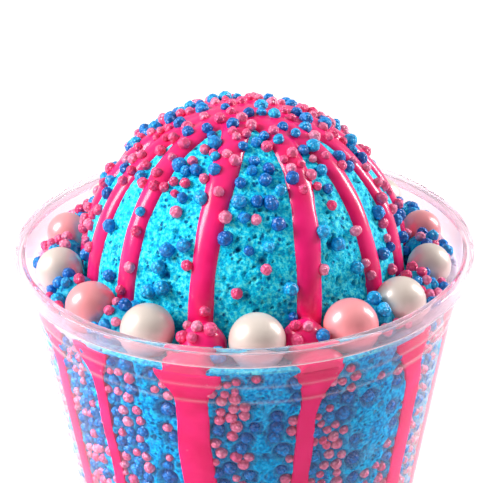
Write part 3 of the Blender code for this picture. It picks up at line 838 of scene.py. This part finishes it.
def make_mound(finish):
    """The ice that shows from above: the outline lifted by the relief, and tucked in underneath."""
    runs = np.concatenate([
        np.linspace(0.35 * MM, DOME_END, MOUND_ROWS[0])[:-1],
        np.linspace(DOME_END, WALL_START, MOUND_ROWS[1]),
    ])[:, None]
    azimuth = steps_round(MOUND_COLUMNS)[None, :]
    bare = on_ice(azimuth, runs)
    relief, pores = ice_relief(bare.reshape(-1, 3))
    calm = beside_stripes(azimuth, runs) * np.clip((WALL_START - runs) / (2 * MM), 0, 1)
    skin = to_wall(on_ice(azimuth, runs, 0.0, relief.reshape(calm.shape) * calm), INTO_WALL)
    under = LEDGE_HEIGHT - 3 * MM
    tuck = around(azimuth, inner_radius(LEDGE_HEIGHT) - 4 * MM, under)
    grid = np.concatenate([skin, tuck])
    mound = put_mesh("ice_mound", *closed_surface(grid, on_ice(0.0, 0.0), (0.0, 0.0, under)))
    side = np.hypot(bare[..., 0], bare[..., 1])
    # Painted shade in the pores, weaker beside the stripes
    paint(mound, "painted_shade", pores * calm.ravel())
    # Painted reflection: the pale veil on the bank near the wall
    painted_veil = VEIL_SHARE * np.clip((side - BANK_FOOT_RADIUS) / VEIL_WIDTH, 0, 1) * veiled_share(azimuth)
    paint(mound, "painted_veil", painted_veil)
    return dress(mound, finish, "blue_ice", "ice")


def dents(heights, beads):
    """How far the ice draws back round the beads at the wall: most beside a bead, and none further off."""
    depth = np.zeros((len(heights), BODY_COLUMNS))
    step = 360.0 / BODY_COLUMNS
    spots, sizes, _, on_wall = beads
    for spot, size in zip(spots[on_wall], sizes[on_wall]):
        side = math.hypot(spot[0], spot[1])
        middle = math.degrees(math.atan2(spot[0], -spot[1])) / step
        half = int(math.degrees(DENT_REACH * size / side) / step) + 1
        columns = np.arange(round(middle) - half, round(middle) + half + 1)
        rows = np.flatnonzero(np.abs(heights - spot[2]) < DENT_REACH * size)
        aside = np.radians((columns - middle) * step) * side
        away = np.hypot(heights[rows, None] - spot[2], aside[None, :]) / size
        dip = DENT_DEPTH * size * np.clip((DENT_REACH - away) / (DENT_REACH - 1), 0, 1)
        place = np.ix_(rows, columns % BODY_COLUMNS)
        depth[place] = np.maximum(depth[place], dip)
    return depth


def make_body(finish, beads):
    """The ice behind the cup's wall: it reaches just into the wall, and stands back at pores and beads."""
    top = BODY_TOP
    floor = FOOT_RECESS + CUP_WALL - INTO_WALL
    heights = np.concatenate([
        np.linspace(top, BODY_SPLIT[0], BODY_ROWS[0]),
        np.linspace(BODY_SPLIT[1], floor + 0.5 * MM, BODY_ROWS[1]),
    ])
    azimuth = steps_round(BODY_COLUMNS)[None, :]
    below = (top - heights)[:, None]
    bare = on_wall(azimuth, heights[:, None], 0.0, -INTO_WALL)
    relief, pores = ice_relief(bare.reshape(-1, 3))
    depth = np.maximum(-relief.reshape(bare.shape[:2]) * np.clip(below / (1 * MM), 0, 1), 0.0)
    hidden = dents(heights, beads)
    skin = on_wall(azimuth, heights[:, None], 0.0, np.maximum(depth, hidden) - INTO_WALL)
    rim = around(azimuth, inner_radius(top) - 2 * MM, top - 0.3 * MM)
    under = around(azimuth, inner_radius(floor) - 1 * MM, floor)
    grid = np.concatenate([rim, skin, under])
    body = put_mesh("ice_body", *closed_surface(grid, (0.0, 0.0, LEDGE_HEIGHT - 2 * MM), (0.0, 0.0, floor)))
    # Painted shade in the pores and in the dents round the beads at the wall
    shade = np.maximum(pores, 0.75 * np.minimum(hidden.ravel() / MM, 1.0))
    paint(body, "painted_shade", shade, BODY_COLUMNS)
    # Painted reflection: the pale veil at the top of the ice behind the wall
    painted_veil = VEIL_SHARE * np.clip(1 - below / VEIL_DEPTH, 0, 1) * veiled_share(azimuth)
    paint(body, "painted_veil", painted_veil, BODY_COLUMNS)
    return dress(body, finish, "blue_ice", "ice")


def stripe_azimuth(stripe, run):
    """Where the stripe's middle lies: it turns most near the crown, and again from the gap to the wall."""
    crown, foot, gap, funnel, wall, _ = STRIPES[stripe]
    left = np.clip(1.0 - np.asarray(run) / DOME_END, 0.0, 1.0)
    places = [DOME_END, WALL_START - 5 * MM, WALL_START, WALL_START + 12 * MM]
    below = np.interp(run, places, [foot, gap, funnel, wall])
    return below + (crown - foot) * left**STRIPE_SWING


def dome_half_width(run):
    """Half a stripe's width on the dome, where all of them are alike."""
    return STRIPE_HALF_WIDTH * (1.0 - STRIPE_NARROWING * run / DOME_END)


def wall_half_width(stripe, run):
    """Half the stripe's width behind the wall: a funnel at the top and its own width below."""
    fall = np.exp(-(((run - WALL_START) / FUNNEL_LENGTH) ** 2))
    return STRIPES[stripe, 5] * MM + FUNNEL_FLARE * fall


def dome_stripe(stripe):
    """A stripe down the dome: a section carried along its path, uneven in width and height.

    Across, the section is its half width times cos a. Its back rises as sin a, and its underside is flat.
    """
    rows, columns = STRIPE_GRID
    runs = np.linspace(STRIPE_START, DOME_END + 1.5 * MM, rows)
    angle = steps_round(columns, math.tau)
    path = on_ice(stripe_azimuth(stripe, runs), runs)
    sway = soft_noise(path, SWAY_LENGTH, 40 + stripe)
    swell = soft_noise(path, SWELL_LENGTH, 60 + stripe)
    half = dome_half_width(runs) * (1 + UNEVEN * swell)
    proud = STRIPE_PROUD * (1 + 0.18 * sway)
    across = half[:, None] * np.cos(angle)[None, :] + SWAY * sway[:, None]
    back = (proud + STRIPE_SINK)[:, None] * np.maximum(np.sin(angle), 0)
    height = back - STRIPE_SINK + np.minimum(np.sin(angle), 0)[None, :] * 0.5 * MM
    return capped(on_ice(stripe_azimuth(stripe, runs)[:, None], runs[:, None], across, height))


def blob(centre, size, azimuth, grid=BLOB_GRID):
    """A pool or heap: a unit sphere times three half sizes, turned to its azimuth."""
    _, _, local = ball(size, *grid)
    turn = np.array(Matrix.Rotation(math.radians(azimuth), 3, "Z"))
    upright = np.array([0.0, 0.0, size[2]])
    return closed_surface(centre + local @ turn.T, centre + upright, centre - upright)


def foot_centre(gap):
    """The middle of the pool or heap in a gap between the pearls."""
    return around(gap, FOOT_RING_RADIUS, LEDGE_HEIGHT + FOOT_RISE)


def make_heaps(finish):
    """The ice heaped up in the other gaps between the pearls, as bumpy as the rest of it."""
    parts = []
    for gap in STRIPES[:, 2]:
        if abs(gap) < POOLS_UP_TO:
            continue
        points, quads, triangles = blob(foot_centre(gap), FOOT_SIZE, gap, HEAP_GRID)
        away = points - foot_centre(gap)
        relief, _ = ice_relief(points)
        away /= np.linalg.norm(away, axis=1, keepdims=True)
        points = points + np.minimum(relief, 0.0)[:, None] * away
        parts.append((points, quads, triangles))
    heaps = put_mesh("ice_heaps", *joined(parts))
    # The heaps are painted evenly darker: painted shade between the pearls
    paint(heaps, "painted_shade", np.full(len(heaps.data.vertices), HEAP_SHADE))
    return dress(heaps, finish, "blue_ice", "ice")


def crown_cap():
    """The patch where the stripes meet: a lens on the dome, sqrt(1 - s^2) proud at a share s of its size."""
    upper = np.linspace(0.05, 1.0, CAP_ROWS[0])
    share = np.concatenate([upper, np.linspace(0.95, 0.1, CAP_ROWS[1])])
    above = STRIPE_PROUD * np.sqrt(np.clip(1 - upper**2, 0, 1))
    lift = np.concatenate([above, np.full(CAP_ROWS[1], -STRIPE_SINK)])
    azimuth = steps_round(CAP_COLUMNS)[None, :]
    grid = on_ice(azimuth, (share * CROWN_PATCH_RADIUS)[:, None], 0.0, lift[:, None])
    return closed_surface(grid, on_ice(0.0, 0.0, 0.0, STRIPE_PROUD), on_ice(0.0, 0.0, 0.0, -STRIPE_SINK))


def melt(piece):
    """Melts a piece's overlapping parts into one smooth skin, which stays inside the cup's wall."""
    voxels = piece.modifiers.new("melt", "REMESH")
    voxels.mode = "VOXEL"
    voxels.voxel_size = SYRUP_VOXEL
    ease = piece.modifiers.new("ease", "SMOOTH")
    ease.factor = 0.5
    ease.iterations = 6
    graph = bpy.context.evaluated_depsgraph_get()
    skin = bpy.data.meshes.new_from_object(piece.evaluated_get(graph))
    piece.modifiers.clear()
    piece.data = skin
    points = np.empty(3 * len(skin.vertices), np.float32)
    skin.vertices.foreach_get("co", points)
    keep_inside(points.reshape(-1, 3), TONGUE_INTO_WALL)
    skin.vertices.foreach_set("co", points)
    skin.shade_smooth()


def make_syrup(finish):
    """The syrup on top: all stripes, the crown's patch and the pools, melted into one smooth skin."""
    parts = [crown_cap()]
    for stripe, (_, _, gap, funnel, _, _) in enumerate(STRIPES):
        parts.append(dome_stripe(stripe))
        if abs(gap) < POOLS_UP_TO:
            parts.append(blob(foot_centre(gap), FOOT_SIZE, gap))
            over = around(funnel, TONGUE_RING_RADIUS, BANK_HEIGHT - TONGUE_SINK)
            parts.append(blob(over, TONGUE_SIZE, gap))
    syrup = put_mesh("syrup_top", *joined(parts))
    melt(syrup)
    return dress(syrup, finish, "pink_syrup", "ice")


def wall_band(stripe):
    """A stripe behind the wall: |cos a|^0.7 of its half width across, |sin a|^0.4 of its depth inwards."""
    rows, columns = BAND_GRID
    angle = steps_round(columns, math.tau)
    runs = np.linspace(WALL_START, WALL_END, rows)
    heights = np.interp(runs, LINE[0], LINE[2])
    path = on_wall(stripe_azimuth(stripe, runs), heights)
    sway = soft_noise(path, BAND_SWAY_LENGTH, 80 + stripe)
    edge = soft_noise(path, BAND_EDGE_LENGTH, 100 + stripe)
    half = wall_half_width(stripe, runs) * (1 + UNEVEN * edge)
    half[-BAND_TAIL:] *= np.sqrt(np.linspace(1.0, 0.05, BAND_TAIL))
    across = half[:, None] * np.sign(np.cos(angle)) * np.abs(np.cos(angle)) ** 0.7
    across = across + BAND_SWAY * sway[:, None]
    side = np.sign(np.sin(angle)) * np.abs(np.sin(angle)) ** 0.4
    depth = np.where(side > 0, -SYRUP_INTO_WALL * side, -BAND_DEPTH * side)
    return capped(on_wall(stripe_azimuth(stripe, runs)[:, None], heights[:, None], across, depth[None, :]))


def make_wall_syrup(finish):
    """The stripes behind the wall: flat bands that follow the wall, wide at their top like a funnel."""
    bands = [wall_band(stripe) for stripe in range(len(STRIPES))]
    return dress(put_mesh("syrup_wall", *joined(bands)), finish, "pink_syrup", "ice")


def pearl_places():
    """Each pearl's node, centre and radius, from the solids' boxes: a ball's height is its full width."""
    found = []
    for name in PEARL_NODES:
        low, high = np.array(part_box(name))
        found.append((name, (low + high) / 2, (high[2] - low[2]) / 2))
    return found


def make_pearl(name, centre, radius, finish, slot):
    """A candy pearl: a ball whose radius is 0.985 + 0.012 sin 2a sin p of the solid's."""
    polar, angle, unit = ball((1.0, 1.0, 1.0), *PEARL_GRID)
    grow = 0.985 + 0.012 * np.sin(2 * angle + 5 * radius / MM) * np.sin(polar)
    grid = centre + radius * grow[..., None] * unit
    up = np.array([0.0, 0.0, 0.985 * radius])
    pearl = put_mesh(name.replace("pearl", "candy"), *closed_surface(grid, centre + up, centre - up))
    return dress(pearl, finish, slot, name)


# Sprinkles

def syrup_lift(azimuth, run):
    """How far the syrup stands off the dome here."""
    if run < 0.8 * CROWN_CAP_RADIUS:
        return STRIPE_PROUD
    across = DOME_RADIUS * math.sin(run / DOME_RADIUS)
    half = dome_half_width(run)
    found = 0.0
    for stripe in range(len(STRIPES)):
        turned = math.radians(azimuth - stripe_azimuth(stripe, run))
        aside = across * math.sin(turned)
        if math.cos(turned) > 0 and abs(aside) < half:
            found = max(found, STRIPE_PROUD * math.sqrt(1 - (aside / half) ** 2))
    return found


class Heap:
    """Beads placed one after another, each clear of those before it and of the pearls."""

    def __init__(self, pearls):
        self.pearl_spots = np.array([centre for _, centre, _ in pearls])
        self.pearl_sizes = np.array([radius for _, _, radius in pearls])
        self.spots = np.empty((MOST_BEADS, 3))
        self.sizes = np.empty(MOST_BEADS)
        self.kinds = np.empty(MOST_BEADS, dtype="<U5")
        self.on_wall = np.zeros(MOST_BEADS, bool)
        self.first = 0
        self.count = 0

    def restart(self):
        """Forgets, for the next belt's clearance, the beads that lie elsewhere."""
        self.first = self.count

    def place(self, point, radius, kind, squeeze, on_wall=False):
        """Adds a bead and says so, unless it would touch another one or, off the wall, a pearl."""
        size = radius * SPRINKLE_SWELL
        placed = slice(self.first, self.count)
        apart = ((self.spots[placed] - point) ** 2).sum(axis=1)
        if np.any(apart < (squeeze * (size + SPRINKLE_SWELL * self.sizes[placed])) ** 2):
            return False
        apart = ((self.pearl_spots - point) ** 2).sum(axis=1)
        room = size if squeeze < 1 else SPRINKLE_SWELL * size + PEARL_CLEARANCE
        if not on_wall and np.any(apart < (self.pearl_sizes + room) ** 2):
            return False
        self.spots[self.count] = point
        self.sizes[self.count] = radius
        self.kinds[self.count] = kind
        self.on_wall[self.count] = on_wall
        self.count += 1
        return True

    def press(self):
        """Pushes the beads at the wall outwards, until they reach a little into it."""
        every = (self.spots, self.sizes, self.kinds, self.on_wall)
        spots, sizes, kinds, on_wall = (part[:self.count] for part in every)
        side = np.hypot(spots[:, 0], spots[:, 1])
        pressed = inner_radius(spots[:, 2]) - WALL_PRESS * sizes
        spots[:, :2] *= np.where(on_wall, pressed / side, 1.0)[:, None]
        return spots, sizes, kinds, on_wall


def bead_radius(draw, blue_share=0.5, blue_size=BLUE_RADIUS, pink_size=PINK_RADIUS):
    """A blue or a pink bead's radius, drawn at random, with its colour."""
    blue = draw.random() < blue_share
    low, high = blue_size if blue else pink_size
    return draw.uniform(low, high), "blue" if blue else "pink"


def dome_beads(heap, draw, count, first, last, sizes=(), squeeze=APART, blue_on_syrup=BLUE_ON_SYRUP):
    """Beads spread evenly by area over a belt of the dome, between two ways down from the crown."""
    high, low = math.cos(first / DOME_RADIUS), math.cos(last / DOME_RADIUS)
    blue_on_ice = MORE_BLUE_SHARE if sizes else BLUE_SHARE
    placed = tries = 0
    while placed < count and tries < DOME_TRIES * count:
        tries += 1
        azimuth = draw.uniform(0.0, 360.0)
        run = DOME_RADIUS * math.acos(draw.uniform(low, high))
        lift = syrup_lift(azimuth, run)
        if sizes and lift > 0 and run > CROWN_EDGE and draw.random() > SYRUP_SHARE:
            continue
        radius, colour = bead_radius(draw, blue_on_syrup if lift > 0 else blue_on_ice, *sizes)
        rise = SYRUP_RISE if lift > 0 else SPRINKLE_RISE
        point = on_ice(azimuth, run, 0.0, lift + rise * radius)
        if sizes and point[2] + SPRINKLE_SWELL * radius > BOX_TOP:
            continue
        placed += heap.place(point, radius, colour, squeeze)


def blob_top(aside, away, ring, middle, size, least=0.0):
    """The height of a blob's upper side, this far aside of and away from the axis."""
    inside = 1.0 - (aside / size[0]) ** 2 - ((away - ring) / size[1]) ** 2
    return middle + size[2] * math.sqrt(max(inside, least))


def foot_top(aside, away, least=0.05):
    """The height of the pool or heap that lies in a gap."""
    return blob_top(aside, away, FOOT_RING_RADIUS, LEDGE_HEIGHT + FOOT_RISE, FOOT_SIZE, least)


def pool_top(aside, away):
    """The height of the pool or of the tongue in front of it, whichever is higher."""
    tongue = blob_top(aside, away, TONGUE_RING_RADIUS, BANK_HEIGHT - TONGUE_SINK, TONGUE_SIZE)
    return max(foot_top(aside, away, 0.0), tongue)


def moat_beads(
    heap, draw, gaps, each, band, top=foot_top, reach=MOAT_REACH, tries=MOAT_TRIES, sizes=(), squeeze=APART,
):
    """Beads that lie on the pool or heap in each gap between the pearls."""
    for gap in gaps:
        placed = 0
        for _ in range(tries):
            radius, colour = bead_radius(draw, 0.5, *sizes)
            aside = draw.uniform(-reach, reach)
            away = draw.uniform(*band)
            height = top(aside, away)
            point = around(gap + math.degrees(aside / away), away, height + SPRINKLE_RISE * radius)
            placed += heap.place(point, radius, colour, squeeze)
            if placed == each:
                break


def wall_beads(heap, draw, count, highest, band, sizes=(), squeeze=APART):
    """Beads pressed against the cup's wall, in a band beside each stripe: a band below 0 is on its left."""
    placed = tries = 0
    while placed < count and tries < WALL_TRIES * count:
        tries += 1
        stripe = int(draw.integers(len(STRIPES)))
        height = draw.uniform(LOWEST_BEAD, highest)
        radius, colour = bead_radius(draw, 0.5, *sizes)
        side = inner_radius(height) - ICE_GAP - radius * SPRINKLE_SWELL
        aside = draw.uniform(*band)
        aside += math.copysign(STRIPES[stripe, 5] * MM, aside)
        azimuth = stripe_azimuth(stripe, run_at(height)) + math.degrees(aside / side)
        placed += heap.place(around(azimuth, side, height), radius, colour, squeeze, on_wall=True)


def scatter(pearls):
    """All the beads: first the solids' own, by the same rule and draws, then smaller ones between them."""
    heap = Heap(pearls)
    gaps = STRIPES[:, 2]
    draw = np.random.default_rng(SPRINKLE_SEED)
    dome_beads(heap, draw, CROWN_SPRINKLES, 0.0, CROWN_EDGE)
    heap.restart()
    dome_beads(heap, draw, DOME_SPRINKLES, CROWN_EDGE + 2.5 * MM, DOME_END - 5 * MM)
    heap.restart()
    moat_beads(heap, draw, gaps, MOAT_SPRINKLES, POOL_BAND)
    heap.restart()
    wall_beads(heap, draw, WALL_SPRINKLES, BANK_HEIGHT - 4 * MM, WALL_BAND)
    heap.first = 0
    more = np.random.default_rng(MORE_SEED)
    sizes = (MORE_BLUE_RADIUS, MORE_PINK_RADIUS)
    # Each belt of the dome: how many beads, from where to where, how close, and the share of blue on syrup
    belts = (
        (MORE_CROWN, 0.0, CROWN_EDGE + 2 * MM, 0.8, 0.6),
        (MORE_UPPER, CROWN_EDGE, MIDDLE_BELT, 0.75, 0.3),
        (MORE_LOWER, MIDDLE_BELT, DOME_END - 2 * MM, 0.8, BLUE_ON_SYRUP),
    )
    for count, first, last, squeeze, blue in belts:
        dome_beads(heap, more, count, first, last, sizes, squeeze, blue)
    pool, hill = gaps[np.abs(gaps) < POOLS_UP_TO], gaps[np.abs(gaps) >= POOLS_UP_TO]
    moat_beads(
        heap, more, pool, MORE_POOL, POOL_FRONT_BAND, pool_top, POOL_REACH, POOL_TRIES, POOL_BEADS, 0.9,
    )
    moat_beads(heap, more, hill, MORE_HEAP, GAP_BAND, foot_top, MOAT_REACH, HEAP_TRIES, sizes, 0.78)
    for share, band in WALL_BELTS:
        wall_beads(heap, more, int(share * MORE_WALL), BANK_HEIGHT - 1.8 * MM, band, sizes, 0.85)
    return heap.press()


def bead_form():
    """A bead: a twenty-sided form split once, as points on the unit sphere and triangles."""
    golden = (1 + math.sqrt(5)) / 2
    first, second = np.meshgrid([-1, 1], [-golden, golden])
    flat = np.stack([np.zeros(4), first.ravel(), second.ravel()], axis=-1)
    corners = np.concatenate([np.roll(flat, turn, axis=1) for turn in range(3)])
    corners /= np.linalg.norm(corners, axis=1, keepdims=True)
    away = np.linalg.norm(corners[:, None] - corners[None], axis=-1)
    near = (away > 0.1) & (away < 1.2)
    faces = [
        (a, b, c)
        for a in range(12) for b in range(a + 1, 12) for c in range(b + 1, 12)
        if near[a, b] and near[b, c] and near[a, c]
    ]
    edges = sorted({tuple(sorted(pair)) for a, b, c in faces for pair in ((a, b), (b, c), (a, c))})
    middle = {edge: 12 + number for number, edge in enumerate(edges)}
    halves = np.array([corners[a] + corners[b] for a, b in edges])
    halves /= np.linalg.norm(halves, axis=1, keepdims=True)
    triangles = []
    for a, b, c in faces:
        ab, bc, ac = middle[(a, b)], middle[(b, c)], middle[(a, c)]
        triangles += [(a, ab, ac), (b, bc, ab), (c, ac, bc), (ab, bc, ac)]
    points = np.concatenate([corners, halves])
    triangles = np.array(triangles)
    first, second, third = np.moveaxis(points[triangles], 1, 0)
    facing = (np.cross(second - first, third - first) * (first + second + third)).sum(axis=1)
    triangles[facing < 0] = triangles[facing < 0][:, ::-1]
    return points, triangles


def turns(count, draw):
    """Random turns, as the matrices of unit quaternions (w, x, y, z): each entry is a sum of two products."""
    quaternions = draw.normal(size=(count, 4))
    quaternions /= np.linalg.norm(quaternions, axis=1, keepdims=True)
    w, x, y, z = quaternions.T
    return np.stack([
        np.stack([1 - 2 * (y * y + z * z), 2 * (x * y - z * w), 2 * (x * z + y * w)], axis=-1),
        np.stack([2 * (x * y + z * w), 1 - 2 * (x * x + z * z), 2 * (y * z - x * w)], axis=-1),
        np.stack([2 * (x * z - y * w), 2 * (y * z + x * w), 1 - 2 * (x * x + y * y)], axis=-1),
    ], axis=1)


def make_beads(kind, beads, finish, slot):
    """All beads of one colour as one mesh: turn times form times radius plus place, kept inside the wall."""
    spots, sizes, kinds, on_wall = beads
    spots, sizes, on_wall = (part[kinds == kind] for part in (spots, sizes, on_wall))
    draw = np.random.default_rng(len(spots))
    form, triangles = bead_form()
    stretch = draw.uniform(0.93, 1.04, size=(len(spots), 1, 3))
    stretch = stretch * draw.normal(1.0, 0.045, size=(len(spots), len(form), 1))
    points = np.einsum("nij,nkj->nki", turns(len(spots), draw), form[None] * stretch)
    points = spots[:, None] + sizes[:, None, None] * points
    keep_inside(points, BEAD_INTO_WALL)
    faces = (triangles[None] + len(form) * np.arange(len(spots))[:, None, None]).reshape(-1, 3)
    piece = put_mesh(f"beads_{kind}", points, (), faces)
    tone_and_shading = draw.random(len(spots))
    # Painted light and shade: pink beads at the wall lighter, blue ones darker
    tone_and_shading = np.where(on_wall, WALL_SHADING[kind] + 0.5 * tone_and_shading, tone_and_shading)
    paint(piece, "tone_and_shading", np.repeat(tone_and_shading, len(form)))
    return dress(piece, finish, slot, "ice")


# Stage

def make_floor():
    """A plain pale floor, which shines a little so that the ground stays white."""
    side = 3.0
    corners = [(-side, -side, 0.0), (side, -side, 0.0), (side, side, 0.0), (-side, side, 0.0)]
    floor = put_mesh("floor", corners, [(0, 1, 2, 3)])
    made, tree, shader = principled(
        "floor_white", Roughness=0.8, Emission_Color=(1.0, 1.0, 1.0, 1.0), Emission_Strength=0.95,
    )
    colour = ramp(tree, noise(tree, 4.0), (0.3, 0.24), (0.7, 0.26))
    tree.links.new(colour, shader.inputs["Base Color"])
    floor.data.materials.append(made)


def make_lamp(name, azimuth, elevation, distance, size, power, colour=(1.0, 1.0, 1.0)):
    """A soft square lamp that looks at the dome."""
    target = Vector((0.0, 0.0, 0.115))
    level = distance * math.cos(math.radians(elevation))
    place = Vector(around(azimuth, level, distance * math.sin(math.radians(elevation)))) + target
    data = bpy.data.lights.new(name, "AREA")
    data.shape = "RECTANGLE"
    data.size, data.size_y = size
    data.energy = power
    data.color = colour
    lamp = put_object(name, data)
    lamp.location = place
    lamp.rotation_euler = (target - place).to_track_quat("-Z", "Y").to_euler()


def make_light():
    """White light from all round, darkest beside the camera, with soft lamps at the left and at the back
    right.
    """
    world = bpy.data.worlds.new("studio")
    bpy.context.scene.world = world
    world.use_nodes = True
    tree = world.node_tree
    way = node(tree, "ShaderNodeTexCoord").outputs["Generated"]
    front = tuple(around(DARK_AZIMUTH, math.cos(DARK_ELEVATION), math.sin(DARK_ELEVATION)))
    near = node(tree, "ShaderNodeVectorMath", {0: way, 1: front}, operation="DOT_PRODUCT").outputs["Value"]
    sky = tree.nodes["Background"]
    tree.links.new(ramp(tree, near, (0.55, 0.62), (0.95, 0.12)), sky.inputs["Color"])
    sky.inputs["Strength"].default_value = 1.0
    make_lamp("key", -84.0, 34.0, 0.60, (0.24, 0.34), 5.0)
    make_lamp("edge", 114.0, 22.0, 0.60, (0.10, 0.34), 3.5)


def make_camera():
    """The camera on the fitted ray, with its small yaw, pitch and roll."""
    lift, pitch, yaw, roll = map(math.radians, (CAMERA_ELEVATION, CAMERA_PITCH, CAMERA_YAW, CAMERA_ROLL))
    data = bpy.data.cameras.new("camera")
    data.lens = CAMERA_LENS
    data.sensor_width = 36.0
    camera = put_object("camera", data)
    place = Vector((0.0, -CAMERA_DISTANCE * math.cos(lift), CUP_HEIGHT + CAMERA_DISTANCE * math.sin(lift)))
    ahead = Vector((math.sin(yaw) * math.cos(pitch), math.cos(yaw) * math.cos(pitch), -math.sin(pitch)))
    right = ahead.cross(Vector((0.0, 0.0, 1.0))).normalized()
    up = right.cross(ahead)
    rolled = right * math.cos(roll) + up * math.sin(roll)
    upright = up * math.cos(roll) - right * math.sin(roll)
    turn = Matrix((rolled, upright, -ahead)).transposed()
    camera.matrix_world = Matrix.Translation(place) @ turn.to_4x4()
    bpy.context.scene.camera = camera


def set_view():
    """Plain colours, without a film look."""
    view = bpy.context.scene.view_settings
    view.view_transform = "Standard"
    view.look = "None"


def main():
    """Sets up the stage and makes every piece."""
    make_camera()
    make_light()
    make_floor()
    set_view()
    make_cup()
    pearls = pearl_places()
    beads = scatter(pearls)
    ice = ice_finish("ice_open", 0.2, *OPEN_ICE)
    make_mound(ice)
    make_heaps(ice)
    # The ice behind the wall gets darker colours: painted shade
    make_body(ice_finish("shaded_ice_behind_wall", 0.05, *SHADED_WALL_ICE), beads)
    make_syrup(syrup_finish("syrup_open", 0.35, 0.18))
    make_wall_syrup(syrup_finish("syrup_behind_wall", 0.1, 0.0))
    finishes = {kind: pearl_finish(f"pearl_{kind}", *colours) for kind, colours in PEARLS.items()}
    for name, centre, radius in pearls:
        kind = name.split("_")[1]
        make_pearl(name, centre, radius, finishes[kind], f"{kind}_pearl")
    make_beads("blue", beads, bead_finish("bead_blue", *BLUE_BEAD), "blue_bead")
    make_beads("pink", beads, bead_finish("bead_pink", *PINK_BEAD), "pink_bead")


main()
